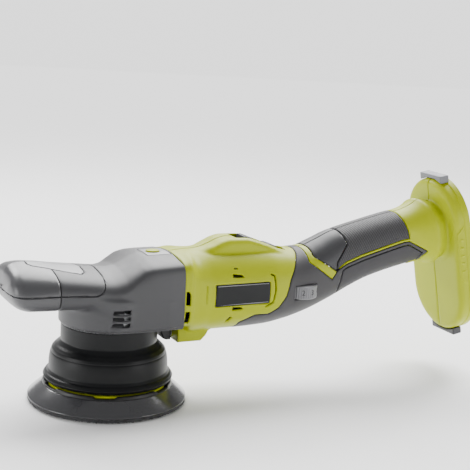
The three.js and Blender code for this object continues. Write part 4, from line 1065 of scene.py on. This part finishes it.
@dataclass
class Casing:
    """The split casing from the flange to the battery foot, and the soft layers on it."""

    tube: Tube = Tube((
        (47.3, 58.5, 115.3, 37.5, 4.6), (52.4, 58.5, 115.7, 37.5, 4.4), (54.6, 57.5, 115.9, 37.1, 4.2),
        (57, 54.5, 116.1, 36.1, 3.6), (61, 51.4, 116.3, 35.1, 2.9), (66, 50.3, 116.5, 34.6, 2.5), (74, 50, 117, 33.8, 2.3), (104, 50, 117, 33.5, 2.2),
        (128, 51, 116.5, 33.1, 2.2), (144, 53.5, 114.6, 31.2, 2.25), (156, 56.3, 113.2, 29, 2.3),
        (168, 59.8, 114.2, 26.2, 2.4), (180, 64.2, 118.6, 24.3, 2.5), (194, 70, 124.8, 23, 2.5),
        (210, 77.6, 129.6, 22, 2.5), (226, 84.2, 133.6, 21.7, 2.5), (242, 89, 137.4, 22, 2.5),
        (258, 93, 140.8, 22.6, 2.5), (272, 96, 143.4, 23.2, 2.4), (300, 101, 148, 24, 2.3)))
    hump: Tube = Tube((
        (62, 95.5, 113, 11, 3), (72, 95.5, 116.6, 14, 3.8), (82, 95.5, 120.4, 16, 5.5),
        (90, 95.5, 123.8, 16, 6), (97, 95.5, 125.2, 16, 6), (111, 95.5, 124.9, 16, 6),
        (120, 95.5, 122.8, 16, 6), (142, 95.5, 114.8, 15, 5), (150, 95.5, 112, 11, 3)))
    lug: tuple = ((52.6, 42.8), (73, 42.8), (77.5, 47.3), (84, 60), (84, 75), (52.6, 75))
    lug_half: float = 15.0
    tilt: float = math.radians(11.2)
    foot_x: float = 304.2
    foot_z: float = 99.5
    foot_half: float = 37.5
    foot_straight: float = 32.5
    foot_depth: float = 15.0
    foot_wall: float = 3.2
    foot_floor: float = 4.0
    stem_half: float = 14.0
    stem_up: float = 19.0
    waist: tuple = (
        (159, 122), (158.5, 114), (152, 106), (144, 93), (140.5, 80), (134, 70), (126, 65),
        (113, 65), (102, 59), (97, 40), (283, 40), (276, 92), (278, 103.5), (281, 108.5),
        (262, 118), (256, 117.4), (216, 106.3), (200, 101), (192, 96.3), (187, 89),
        (164.8, 105), (164.6, 122))
    grip: tuple = (
        (170.5, 160), (170, 109), (191, 95.6), (194, 99), (200, 103.2), (216, 108.7),
        (256, 119.8), (261.7, 120.5), (260, 128.5), (256.6, 138), (255.5, 160))
    pad: tuple = ((160, 165), (160, 90), (191, 95.6), (191.3, 103.7), (201.8, 118.1),
                  (200, 124.6), (198, 165))
    palm: tuple = ((197.5, 97.5), (230, 107.6), (261.5, 116.6), (280, 108), (277.7, 104),
                   (276, 92), (276, 40), (196.7, 40), (195.6, 84))
    vents: tuple = (
        ((48.8, 79.2), (52.6, 79.2), (52.6, 87.5), (51, 90), (48.8, 90)),
        ((48.8, 63.4), (52.6, 63.4), (52.6, 74), (48.8, 74)),
        ((90.4, 113.2), (93, 113.2), (96.4, 103.8), (93.6, 103.8)),
        ((91.4, 97.8), (101, 97.6), (99.6, 99.6), (91.4, 100.6)),
        ((91.4, 70.8), (100.6, 71.2), (99.4, 73.2), (91.4, 73.6)),
        ((87.8, 60.4), (90.4, 60.4), (93.4, 64.8), (90.6, 64.8)))
    label: tuple = (76.0, 124.0, 75.2, 92.8)
    dial: tuple = (149.0, 171.0, 75.0, 87.0)
    screws: tuple = ((66.5, 48.4), (147, 104), (143, 66), (206, 88))
    split: float = 0.13
    gap: float = 0.25
    wall: float = 1.5
    grid: Array = field(default=None, repr=False)
    foot_at: Array = field(default=None, repr=False)

    def into_foot(self, p: Array) -> Array:
        """Points as depth behind the foot's front face, y, and height up the face."""
        c, s = math.cos(self.tilt), math.sin(self.tilt)
        x, z = p[..., 0] - self.foot_x, p[..., 2] - self.foot_z
        return np.stack([x * c + z * s, p[..., 1], z * c - x * s], -1)

    def from_foot(self, q: Array) -> Array:
        """The opposite of into_foot."""
        c, s = math.cos(self.tilt), math.sin(self.tilt)
        d, u = q[..., 0], q[..., 2]
        return np.stack([self.foot_x + d * c - u * s, q[..., 1], self.foot_z + d * s + u * c], -1)

    def oblong(self, y: Array, u: Array) -> Array:
        """Distance outside the foot's upright outline with round ends."""
        return np.hypot(y, np.maximum(np.abs(u) - self.foot_straight, 0)) - self.foot_half

    def depth(self, p: Array) -> Array:
        """Field of the whole casing.

        Args:
            p: Points.

        Returns:
            The body tube, its shoulders cut like the head's near the flange, melded with the
            hump over 1.6 mm, the lug over 2 mm and the foot over
            up to 36 mm ahead of the foot's face and 6 mm behind it. The foot's front edge has a
            radius of 5 mm, and its rear band stands 0.6 mm proud.
        """
        x, y, z = np.moveaxis(p, -1, 0)
        fade = 7 * ease(x, 50, 66) + 60 * ease(x, 66, 90)
        slope = (z - 111.4 + (np.abs(y) - 38.5) * 0.165) / 1.0135 - fade
        body = meld(common(self.tube.depth(p), slope, 3.5), self.hump.depth(p), 1.6)
        lug = common(-inside(self.lug, p[..., 0], p[..., 2]), np.abs(p[..., 1]) - self.lug_half, 1.5)
        body = meld(body, lug, 2.0)
        q = self.into_foot(p)
        edge = 5.0
        band = 0.6 * (1 - ease(q[..., 0], 9.2, 10.0))
        a = self.oblong(q[..., 1], q[..., 2]) + band + edge
        b = edge - q[..., 0]
        outside = np.hypot(np.maximum(a, 0), np.maximum(b, 0)) + np.minimum(np.maximum(a, b), 0)
        reach = 6 + 30 * ease(-q[..., 0], -1, 15)
        return meld(body, outside - edge, reach)

    def solve(self) -> None:
        """Casts the rays: upright planes to x = 262, a fan from inside the foot, then the socket.

        The fan's rings spread from the last plane's section to the foot's rim. The socket's rings carry a
        profile of depth and inset round the same outline: over the rim, down the wall, across
        the floor to the stem's square hole, and into the hole.
        """
        around = 288
        a = np.linspace(0, FULL_TURN, around + 1)
        c, s = np.cos(a), np.sin(a)
        x = np.unique(np.concatenate([
            np.linspace(47.3, 58, 22), [55.4, 55.8, 56.0], np.linspace(58, 160, 104),
            np.linspace(160, 262, 96)]))[:, None]
        z = through(np.array([47.3, 156, 180, 210, 258, 262]),
                    np.array([[84.0], [85], [91.5], [103.6], [116.9], [117.9]]), x)[..., 0]
        origin = np.stack([x + 0 * a, 0 * x + 0 * a, z + 0 * a], -1)
        way = np.stack([0 * x + 0 * a, c + 0 * x, s + 0 * x], -1)
        body = cast(origin, way, self.depth, 110)

        mid = self.foot_depth / 2
        body_end = self.into_foot(body[-1])
        flat = np.stack([0 * a, c, s], -1)
        hub = np.array([mid, 0.0, self.stem_up])
        edge = cast(np.broadcast_to(hub, flat.shape), flat,
                    lambda q: self.oblong(q[..., 1], q[..., 2]), 120)
        reach = np.linalg.norm(edge - hub, axis=-1)
        share = np.concatenate([np.linspace(0.015, 0.8, 50), np.linspace(0.815, 1, 16)])
        rim = np.stack([0.8 + 0 * a, reach * c, self.stem_up + reach * s], -1)
        front = body_end + share[:, None, None] * (rim - body_end) - hub
        depths = np.concatenate([np.linspace(0.8, 8.6, 9), np.linspace(9, 10.4, 5),
                                 np.linspace(11.4, self.foot_depth, 4)])[:, None]
        wall = np.stack([depths - mid + 0 * a, reach * c + 0 * depths, reach * s + 0 * depths], -1)
        fan = np.concatenate([front, wall])
        q0 = np.broadcast_to(hub, fan.shape)
        fan = cast(q0, fan, lambda q: self.depth(self.from_foot(q)), 130)

        def oblong_ring(depth: float, inset: float) -> Array:
            """A ring of the foot's outline drawn in, on the same rays."""
            hit = cast(np.broadcast_to([depth, 0.0, self.stem_up], flat.shape), flat,
                       lambda q: self.oblong(q[..., 1], q[..., 2]) + inset, 120)
            return hit

        def square_ring(depth: float, half: float) -> Array:
            """A ring round the stem's square hole, with corners rounded by the power 8."""
            r = half / (np.abs(c) ** 8 + np.abs(s) ** 8) ** (1 / 8)
            return np.stack([depth + 0 * a, r * c, self.stem_up + r * s], -1)

        d, w, f = self.foot_depth, self.foot_wall, self.foot_floor
        rings = [oblong_ring(d, 0.5), oblong_ring(d, w - 0.6), oblong_ring(d - 0.5, w)]
        rings += [oblong_ring(v, w) for v in np.linspace(d - 2, f + 1.2, 6)]
        rings += [oblong_ring(f + 0.4, w + 0.3), oblong_ring(f, w + 1.2)]
        rim_in, hole = oblong_ring(f, w + 1.2), square_ring(f, self.stem_half + 1)
        rings += [rim_in * (1 - t) + hole * t for t in np.linspace(0.06, 1, 16)]
        rings += [square_ring(f - 0.4, self.stem_half + 0.2)]
        rings += [square_ring(v, self.stem_half) for v in np.linspace(f - 1, -36, 12)]
        self.grid = np.concatenate([
            body, self.from_foot(fan), self.from_foot(np.stack(rings))])
        self.foot_at = self.into_foot(self.grid)
        kind = np.zeros(self.grid.shape[:2])
        kind[len(body) + len(fan):] = 1
        self.socket = kind

    def piece(self, name: str, keep: Array, finish: Finish, slot: str, nodes: Sequence[str],
              roll: float = 0.7, lift: float = 0.0, wall: Optional[float] = None,
              body: str = "housing") -> None:
        """Trims the casing's skin and makes one piece of it."""
        patch = walled(trimmed(self.grid, keep), self.wall if wall is None else wall, roll, lift)
        place(name, mesh_of(name, patch), finish, body, nodes)

    def build(self) -> None:
        """Builds both casing halves, the soft layers, the label and the foot's side panels."""
        self.solve()
        x, y, z = np.moveaxis(self.grid, -1, 0)
        outer = np.where(self.socket > 0, -99.0, 99.0)
        waist = np.minimum(inside(self.waist, x, z), outer)
        grip = np.minimum(inside(self.grip, x, z), outer)
        palm = np.minimum(inside(self.palm, x, z), waist - 3.0)
        pad = inside(self.pad, x, z)
        cuts = [-inside(v, x, z) for v in self.vents]
        cuts.append(off_line(((67.5, 78.5), (67.5, 92.5)), 0.45, x, z))
        cuts.append(off_line(((125.4, 98.6), (128.6, 97.4), (129.4, 85.5), (127.6, 75.4),
                              (121.4, 72)), 0.55, x, z))
        open_side = np.min(cuts, axis=0)
        open_side = np.where((np.abs(y) > 20) & (self.socket < 1), open_side, 99)
        open_side = np.where((x > 62) & (x < 131) & (np.abs(y) < 27) & (z > 100), 99, open_side)
        low_x, high_x, low_z, high_z = self.label
        label = np.min([x - low_x, high_x - x, z - low_z, high_z - z], axis=0)
        label = np.where((y < -12) & (self.socket < 1), label, -99)
        window = np.min([x - self.dial[0], self.dial[1] - x, z - self.dial[2], self.dial[3] - z], 0)
        window = np.where(y < 0, window, -99)
        holes = np.min([np.hypot(x - a, z - b) - 3.9 for a, b in self.screws], axis=0)
        holes = np.where((y > 5) & (self.socket < 1), holes, 99)
        slot = np.minimum(np.minimum(x - 103.2, 149.0 - x), 8.6 - np.abs(y))
        slot = np.where(z > 104, slot, -99)
        stripe = np.min([-waist - self.gap, -grip - self.gap, open_side, -label - 0.2, holes,
                         -slot, x - 47.2], axis=0)
        for side, sign in (("left", -1), ("right", 1)):
            half = sign * y - self.split
            self.piece(f"housing_{side}", np.minimum(stripe, half), LIME, "lime_casing",
                       [f"housing_{side}"])
            soft = np.min([waist - self.gap, half, -window, holes], axis=0)
            self.piece(f"waist_overmould_{side}", np.minimum(soft, -palm - 0.3), WAIST_GREY,
                       "soft_grey", [f"waist_overmould_{side}"], lift=0.1)
            self.piece(f"palm_panel_{side}", np.minimum(soft, palm - 0.3), PANEL_GREY,
                       "soft_grey", [], lift=0.1, roll=0.9)
            top = np.minimum(grip - self.gap, half)
            self.piece(f"upper_grip_{side}", np.minimum(top, -pad - 0.25), KNURL_GREY,
                       "grip_rubber", [f"upper_grip_{side}"], roll=1.1, lift=0.3)
            self.piece(f"grip_pad_{side}", np.minimum(top, pad - 0.25), PAD_GREY, "grip_rubber",
                       [], roll=1.1, lift=0.3)
        self.piece("name_plate", label - 0.1, LABEL, "label_black", ["name_plate"], roll=0.3,
                   wall=0.8)
        line = np.minimum(label - 0.9, 1.5 - label)
        self.piece("label_border", line, LABEL_EDGE, "label_black", [], roll=0.05, lift=0.12,
                   wall=0.1)
        self.side_panels()
        self.dial_well()

    def side_panels(self) -> None:
        """A raised field with four plain ribs on each side of the foot, ahead of its rear band."""
        d, y, u = np.moveaxis(self.foot_at, -1, 0)
        outline = ((1.5, 26), (8.6, 33.5), (8.6, -22), (1.5, -15))
        field_ = np.where(self.socket < 1, inside(outline, d, u), -99)
        for side, sign in (("left", -1), ("right", 1)):
            keep = np.where(sign * y > 10, field_, -99)
            self.piece(f"foot_panel_{side}", keep, LIME, "lime_casing", [], roll=0.7, lift=0.6,
                       wall=1.2)
            ribs = np.max([np.minimum(inside(outline, d, u) - 1.7, 1.0 - np.abs(u - v))
                           for v in (-8, -1, 6, 13, 20)], axis=0)
            keep = np.where((sign * y > 10) & (self.socket < 1), ribs, -99)
            self.piece(f"foot_ribs_{side}", keep, LIME, "lime_casing", [], roll=0.45, lift=1.1,
                       wall=1.2)

    def dial_well(self) -> None:
        """The dark round well behind the speed dial: a quarter-round wall and a floor."""
        a = np.linspace(math.radians(20), math.radians(160), 48)
        profile = np.array([(14.4, 75.2), (14.4, 86.8)])
        r, z = profile[:, 0][:, None], profile[:, 1][:, None]
        wall = np.stack([160 + r * np.cos(a), -18.5 + r * np.sin(a), z + 0 * a], -1)
        share = np.linspace(0.15, 1, 6)[:, None]
        parts = [walled(closed(wall[::-1]), 0.4, 0)]
        full = np.linspace(0, FULL_TURN, 72)
        for level, flip in ((75.2, 1), (86.8, -1)):
            disc = np.stack([160 + 14.4 * share * np.cos(full), -15.5 + 11 * share * np.sin(full),
                             level + 0 * share * full], -1)
            parts.append(walled(closed(disc[::flip]), 0.4, 0))
        place("dial_well", mesh_of("dial_well", joined(parts)), BLACK, "housing")


# ------------------------------------------------------------------ boot and plate


@dataclass
class Boot:
    """The rubber sleeve between the collar and the plate."""

    wall: float = 1.6
    outside: tuple = (
        (50.4, 17.1), (50.6, 18.4), (49.8, 20.9), (47.6, 23.2), (46.9, 24.6), (46.7, 30),
        (46.3, 33.8), (45.2, 38.4), (42.6, 42.2), (39.9, 44.6), (38.5, 46.6), (38.0, 48.6),
        (38.0, 55), (38.0, 60.1))

    def build(self) -> None:
        """Turns the smoothed outside with a parallel inside.

        The crease under the neck and the bead at the skirt are Gaussian dips and humps of a
        few tenths of a millimetre along the profile.
        """
        line = np.array(self.outside)
        run = np.concatenate([[0], np.cumsum(np.hypot(*np.diff(line, axis=0).T))])
        t = np.linspace(0, run[-1], 150)
        smooth = through(run, line, t)
        z = smooth[:, 1]
        bump = 0.45 * np.exp(-((z - 19.0) / 0.8) ** 2) - 0.5 * np.exp(-((z - 22.0) / 0.7) ** 2)
        bump -= 0.35 * np.exp(-((z - 47.2) / 0.9) ** 2)
        bump += 0.3 * np.exp(-((z - 40.4) / 0.8) ** 2) - 0.25 * np.exp(-((z - 37.9) / 0.6) ** 2)
        smooth[:, 0] += bump
        inner = smooth[::-1] - np.array([self.wall, 0])
        profile = np.concatenate([smooth, inner, smooth[:1]])
        place("rubber_boot", mesh_of("rubber_boot", turned_profile(profile, 200)), BOOT_BLACK,
              "housing", ["rubber_boot"])


@dataclass
class Plate:
    """Backing plate, hook face, its hooks, the notched seal ring and the lime ring."""

    orbit: float = 4.0
    orbit_turn: float = math.radians(-116.5)
    hooks: int = 900
    seed: int = 11

    @property
    def centre(self) -> tuple[float, float]:
        """Where the plate's axis stands at rest."""
        return self.orbit * math.cos(self.orbit_turn), self.orbit * math.sin(self.orbit_turn)

    def turn(self, name: str, corners: Sequence, rounding: float, finish: Finish, slot: str,
             around: int = 220) -> None:
        """Turns a rounded profile about the plate's axis and makes a piece of it."""
        profile = softened(corners, rounding, 6)
        patch = turned_profile(profile, around, self.centre)
        place(name, mesh_of(name, patch), finish, "plate", [name])

    def build(self) -> None:
        """Builds the plate's pieces."""
        flank = [(62.3 - 11.1 * t + 0.25 * math.sin(math.pi * t), 3.9 + 9.4 * t)
                 for t in np.linspace(0, 1, 8)]
        lips = [(4.3, 2.9), (61.8, 2.9), (62.2, 3.2), *flank, (50.9, 13.5), (47.4, 13.3),
                (40, 13.0), (36, 10.6), (20, 10.6), (18, 12.6), (16, 21), (4.3, 21)]
        self.turn("backing_plate", lips, 0.5,
                  Spun("plate moulding", srgb(52, 52, 55), self.centre, 0.2), "plate_black")
        self.turn("hook_face", [(0.01, 0.25), (60.9, 0.25), (61.8, 0.8), (61.8, 2.6), (0.01, 2.6)],
                  0.3, HOOKS, "hook_nylon")
        self.turn("plate_accent_ring", [(43, 13.3), (47.3, 13.3), (47.3, 15.8), (43, 15.8)], 0.4,
                  LIME, "lime_casing")
        self.seal_ring()
        self.hook_rows()

    def seal_ring(self) -> None:
        """The black ring: its top drops by 1.4 mm in each of six notches."""
        a = np.linspace(0, FULL_TURN, 361)
        start = a - (-1.95)
        near = np.abs((start / (math.pi / 3) + 0.5) % 1 - 0.5) * (math.pi / 3)
        top = 16.1 - 1.4 * (1 - ease(near, 0.15, 0.19))
        corners = softened([(47.6, 0), (51.0, 0), (50.4, 1), (47.6, 1)], 0.35, 5)
        r, share = corners[:, 0][:, None], corners[:, 1][:, None]
        z = 13.55 + share * (top - 13.55)
        cx, cy = self.centre
        grid = np.stack([cx + r * np.cos(a), cy + r * np.sin(a), z], -1)
        place("plate_seal_ring", mesh_of("plate_seal_ring", closed(grid)), BLACK, "plate",
              ["plate_seal_ring"])

    def hook_rows(self) -> None:
        """Small bent hooks round the edge of the hook face.

        Each hook is a strip of five cross sections whose middle follows an arc outwards and
        down: out = l (1 - cos t), down = l sin t. All hooks are made by broadcasting.
        """
        rng = np.random.default_rng(self.seed)
        n = self.hooks
        turn = np.sort(rng.uniform(0, FULL_TURN, n))
        length = rng.uniform(0.7, 1.35, n)
        base = rng.uniform(0.5, 2.4, n)
        lean = rng.uniform(-0.5, 0.5, n)
        t = np.linspace(0, 1.5, 5)
        out = 61.1 + length[:, None] * np.sin(t) * 0.95
        z = np.maximum(base[:, None] - 0.5 * length[:, None] * (1 - np.cos(t)), 0.05)
        angle = turn[:, None] + lean[:, None] * t / 61 * 1.5
        side = np.array([(-1, -1), (1, -1), (1, 1), (-1, 1), (-1, -1)]) * 0.11
        cx, cy = self.centre
        a = angle[:, :, None] + side[:, 0] / 61
        r = out[:, :, None] + 0 * side[:, 0]
        up = z[:, :, None] + side[:, 1]
        up = np.maximum(up, 0.02)
        grid = np.stack([cx + r * np.cos(a), cy + r * np.sin(a), up + 0 * a], -1)
        cells = triangles_of(5, 5)
        tri = (cells[None] + (np.arange(n) * 25)[:, None, None]).reshape(-1, 3)
        points = grid.reshape(-1, 3)
        first, tri = welded(points, tri)
        points = points[first]
        patch = Patch(points, np.zeros_like(points), tri, {})
        place("edge_hooks", mesh_of("edge_hooks", patch, 60), HOOKS, "plate")


# ------------------------------------------------------------------ small fittings


class Side(Enum):
    """Which half of the tool a piece is on."""

    LEFT = -1
    RIGHT = 1


@dataclass
class Fittings:
    """Switch knob, dial, bumpers, clamp and the dressed inner pieces."""

    frame: dict
    dial_centre: tuple = (160.0, -18.5, 81.0)
    dial_radius: float = 13.5
    dial_height: float = 11.0
    ribs: int = 40
    spring_foot: tuple = (0.034, 0, 0.0983)
    spring_keep: float = 0.69

    def merged(self, node: str) -> bpy.types.Mesh:
        """A copy of a CAD node's mesh with its doubled vertices joined."""
        source = self.frame["nodes"][node].data
        co = np.zeros(len(source.vertices) * 3, np.float32)
        source.vertices.foreach_get("co", co)
        faces = np.zeros(len(source.loops), np.int32)
        source.loops.foreach_get("vertex_index", faces)
        points = co.reshape(-1, 3).astype(float) / MM
        first, tri = welded(points, faces.reshape(-1, 3))
        return mesh_of(node + "_soft", Patch(points[first], points[first], tri, {}), 25)

    def softened_copy(self, node: str, width: float, finish: Finish, body: str) -> None:
        """A copy of a CAD node, merged and with its edges bevelled.

        Args:
            node: CAD node to copy and replace.
            width: Width of the bevel in millimetres.
            finish: What it is made of.
            body: CAD body it rides on.
        """
        piece = place(node + "_soft", self.merged(node), finish, body, [node])
        merge = piece.modifiers.new("flat", "DECIMATE")
        merge.decimate_type = "DISSOLVE"
        merge.angle_limit = math.radians(3)
        bevel = piece.modifiers.new("edges", "BEVEL")
        bevel.width = width * MM
        bevel.segments = 3
        bevel.limit_method = "ANGLE"
        bevel.angle_limit = math.radians(30)
        bevel.harden_normals = False

    def dial(self) -> None:
        """The ribbed wheel: its radius is r - 0.45 |sin(ribs a / 2)| inside two smooth rims."""
        a = np.linspace(0, FULL_TURN, self.ribs * 12 + 1)
        half = self.dial_height / 2
        line = softened([(0.01, -half), (1, -half), (1, half), (0.01, half)], 0.06, 6)
        line = np.array([(2.4, -half), (self.dial_radius - 0.8, -half),
                         (self.dial_radius - 0.2, -half + 0.35), (self.dial_radius, -half + 1.0),
                         (self.dial_radius, -half + 1.5), (self.dial_radius, 0),
                         (self.dial_radius, half - 1.5), (self.dial_radius, half - 1.0),
                         (self.dial_radius - 0.2, half - 0.35), (self.dial_radius - 0.8, half),
                         (2.4, half), (2.4, -half)])
        r, z = line[:, 0][:, None], line[:, 1][:, None]
        groove = 0.55 * (1 - np.abs(np.sin(self.ribs * a / 2))) ** 1.5
        band = (np.abs(z) < half - 1.2) & (r > self.dial_radius - 0.1)
        radius = r - np.where(band, groove, 0)
        cx, cy, cz = self.dial_centre
        grid = np.stack([cx + radius * np.cos(a), cy + radius * np.sin(a), cz + z + 0 * a], -1)
        place("speed_dial_wheel", mesh_of("speed_dial_wheel", closed(grid)), DIAL, "speed_dial",
              ["speed_dial"])

    def dial_marks(self) -> None:
        """Upright digits 1 to 6 round the wheel, each bent to its radius."""
        cx, cy, cz = self.dial_centre
        for number in range(1, 7):
            curve = bpy.data.curves.new(f"digit_{number}", "FONT")
            curve.body = str(number)
            curve.size = 6.2 * MM
            curve.extrude = 0.12 * MM
            curve.align_x = "CENTER"
            curve.align_y = "CENTER"
            text = bpy.data.objects.new(f"digit_{number}", curve)
            bpy.context.scene.collection.objects.link(text)
            bpy.context.view_layer.update()
            mesh = bpy.data.meshes.new_from_object(
                text.evaluated_get(bpy.context.evaluated_depsgraph_get()))
            bpy.data.objects.remove(text)
            co = np.zeros(len(mesh.vertices) * 3, np.float32)
            mesh.vertices.foreach_get("co", co)
            local = co.reshape(-1, 3).astype(float) / MM
            turn = math.radians(-90 - 18 + (number - 2) * 36) + local[:, 0] / self.dial_radius
            r = self.dial_radius + 0.02 + local[:, 2]
            ring = np.stack([cx + r * np.cos(turn), cy + r * np.sin(turn), cz + local[:, 1]], -1)
            mesh.vertices.foreach_set("co", (ring * MM).astype(np.float32).ravel())
            mesh.update()
            place(f"dial_digit_{number}", mesh, MARK, "speed_dial")

    def knob_ribs(self) -> None:
        """Three rounded ribs across each raised end of the switch knob."""
        tilt = math.radians(19)
        line = softened([(-0.45, -0.5), (0.45, -0.5), (0.3, 0.45), (-0.3, 0.45)], 0.3, 4)
        y = np.linspace(-6.6, 6.6, 14)[:, None]
        parts = []
        for centre, top in ((-13.6, 1.0), (-11.5, 1.0), (-9.4, 1.0), (9.4, 1.2), (11.5, 1.2),
                            (13.6, 1.2)):
            along = centre + line[:, 0] + 0 * y
            up = top + line[:, 1] + 0 * y
            grid = np.stack([
                126 + along * math.cos(tilt) + up * math.sin(tilt), y + 0 * along,
                119.6 - along * math.sin(tilt) + up * math.cos(tilt)], -1)
            parts.append(walled(closed(grid), 0.1, 0))
        place("switch_knob_ribs", mesh_of("switch_knob_ribs", joined(parts)), DARK,
              "power_switch")

    def build(self) -> None:
        """Builds the fittings and dresses the CAD pieces that stay."""
        self.softened_copy("power_switch_knob", 0.7, DARK, "power_switch")
        self.softened_copy("foot_bumper_top", 1.0, BUMPER, "housing")
        self.softened_copy("foot_bumper_bottom", 1.0, DARK, "housing")
        self.softened_copy("clamp_block", 0.9, BLACK, "housing")
        self.softened_copy("clamp_screw", 0.4, TURNED, "housing")
        self.knob_ribs()
        self.dial()
        self.dial_marks()
        self.spring()
        self.dress_frame()

    def spring(self) -> None:
        """The button's spring: a merged copy of the CAD coil, in steel."""
        piece = place("lock_spring_coil", self.merged("lock_spring"), STEEL, "housing",
                      ["lock_spring"])
        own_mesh(piece)

    def dress_frame(self) -> None:
        """Gives every CAD node that is still shown a finish of its own."""
        finishes = {
            "lime_casing": LIME, "head_grey": HEAD_GREY, "light_grey": LIGHT_GREY,
            "soft_grey": WAIST_GREY, "grip_rubber": KNURL_GREY, "boot_rubber": BOOT_BLACK,
            "black_plastic": BLACK, "dark_plastic": DARK, "plate_black": BLACK,
            "hook_nylon": HOOKS, "steel": STEEL, "cast_alloy": CAST, "copper": COPPER,
            "brass": BRASS, "carbon": CARBON, "dial_grey": DIAL, "label_black": LABEL,
            "lead_red": LEAD,
        }
        for row in self.frame["record"]["subparts"]:
            node = self.frame["nodes"][row["node"]]
            node.data.materials.clear()
            node.data.materials.append(finishes[row["material_slot"]].material())


# ------------------------------------------------------------------ studio


@dataclass
class Studio:
    """Floor, lights, backdrop light and camera."""

    azimuth: float = -26.453
    elevation: float = 11.153
    roll: float = 3.011
    distance: float = 0.97637
    target: tuple = (0.10603, 0.0, 0.12543)
    lens: float = 91.9

    def camera(self) -> None:
        """Looks along the fitted direction, with the picture rolled about it."""
        a, e, r = map(math.radians, (self.azimuth, self.elevation, self.roll))
        back = Vector((math.sin(a) * math.cos(e), -math.cos(a) * math.cos(e), math.sin(e)))
        right = Vector((math.cos(a), math.sin(a), 0))
        up = back.cross(right)
        across = right * math.cos(r) + up * math.sin(r)
        rise = up * math.cos(r) - right * math.sin(r)
        lens = bpy.data.cameras.new("camera")
        lens.lens, lens.sensor_width = self.lens, 36.0
        lens.clip_start, lens.clip_end = 0.01, 50
        seen = bpy.data.objects.new("camera", lens)
        turn = Matrix((across, rise, back)).transposed().to_4x4()
        seen.matrix_world = Matrix.Translation(Vector(self.target) + back * self.distance) @ turn
        bpy.context.scene.collection.objects.link(seen)
        bpy.context.scene.camera = seen

    def floor(self) -> None:
        """A pale floor just under the plate, which slopes up by 4 degrees from 4 m away."""
        half, near, far, low = 60.0, 4.0, 60.0, -0.0006
        mesh = bpy.data.meshes.new("floor")
        rise = low + (far - near) * math.tan(math.radians(4))
        ends = [(-far, low), (near, low), (far, rise)]
        turn = math.radians(self.azimuth)
        verts = [(x * math.cos(turn) - y * math.sin(turn), x * math.sin(turn) + y * math.cos(turn), z)
                 for y, z in ends for x in (-half, half)]
        mesh.from_pydata(verts, [], [(0, 1, 3, 2), (2, 3, 5, 4)])
        piece = bpy.data.objects.new("floor", mesh)
        bpy.context.scene.collection.objects.link(piece)
        wall = Wall("pale floor")
        wall.feed(Base_Color=(0.96, 0.96, 0.96), Roughness=0.9, Specular_IOR_Level=0.1)
        mesh.materials.append(wall.material)

    def light(self, name: str, place_: Sequence[float], aim: Sequence[float], size: float,
              power: float) -> None:
        """A square soft light."""
        lamp = bpy.data.lights.new(name, "AREA")
        lamp.size, lamp.energy = size, power
        thing = bpy.data.objects.new(name, lamp)
        thing.location = place_
        thing.rotation_euler = (Vector(aim) - Vector(place_)).to_track_quat("-Z", "Y").to_euler()
        bpy.context.scene.collection.objects.link(thing)

    @staticmethod
    def towards(turn: float, rise: float) -> Vector:
        """Unit direction at an angle round from +X and an angle up, in degrees."""
        a, e = math.radians(turn), math.radians(rise)
        return Vector((math.cos(a) * math.cos(e), math.sin(a) * math.cos(e), math.sin(e)))

    def build(self) -> None:
        """Sets up the whole studio."""
        self.floor()
        self.camera()
        world = bpy.data.worlds.new("studio")
        world.use_nodes = True
        world.node_tree.nodes["Background"].inputs[0].default_value = (1, 1, 1, 1)
        world.node_tree.nodes["Background"].inputs[1].default_value = 0.4
        bpy.context.scene.world = world
        sun = bpy.data.lights.new("sky", "SUN")
        sun.energy, sun.angle = 7.0, math.radians(50)
        lamp = bpy.data.objects.new("sky", sun)
        lamp.rotation_euler = self.towards(62, 46).to_track_quat("Z", "Y").to_euler()
        bpy.context.scene.collection.objects.link(lamp)
        middle = Vector((0.03, 0, 0.06))
        self.light("left", middle + self.towards(178, 9) * 1.2, middle, 0.5, 6)
        self.light("right", middle + self.towards(309, 9) * 1.2, middle, 0.35, 3)
        self.light("back_left", middle + self.towards(108, 38) * 1.2, middle, 0.34, 10)
        self.light("back_right", middle + self.towards(20, 38) * 1.2, middle, 0.34, 9)


def corners(box: Sequence[Vector]) -> list[list[float]]:
    """A box as plain lists of numbers."""
    return [list(map(float, corner)) for corner in box]


def main() -> None:
    """Builds the polisher on its frame."""
    logging.basicConfig(level=logging.INFO, format="%(message)s")
    for thing in list(bpy.data.objects):
        bpy.data.objects.remove(thing)
    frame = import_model()
    fittings = Fittings(frame)
    for part in (Head(), Casing(), Boot(), Plate(), fittings, Studio()):
        part.build()
        log.info("built %s", type(part).__name__)


if __name__ == "__main__":
    main()
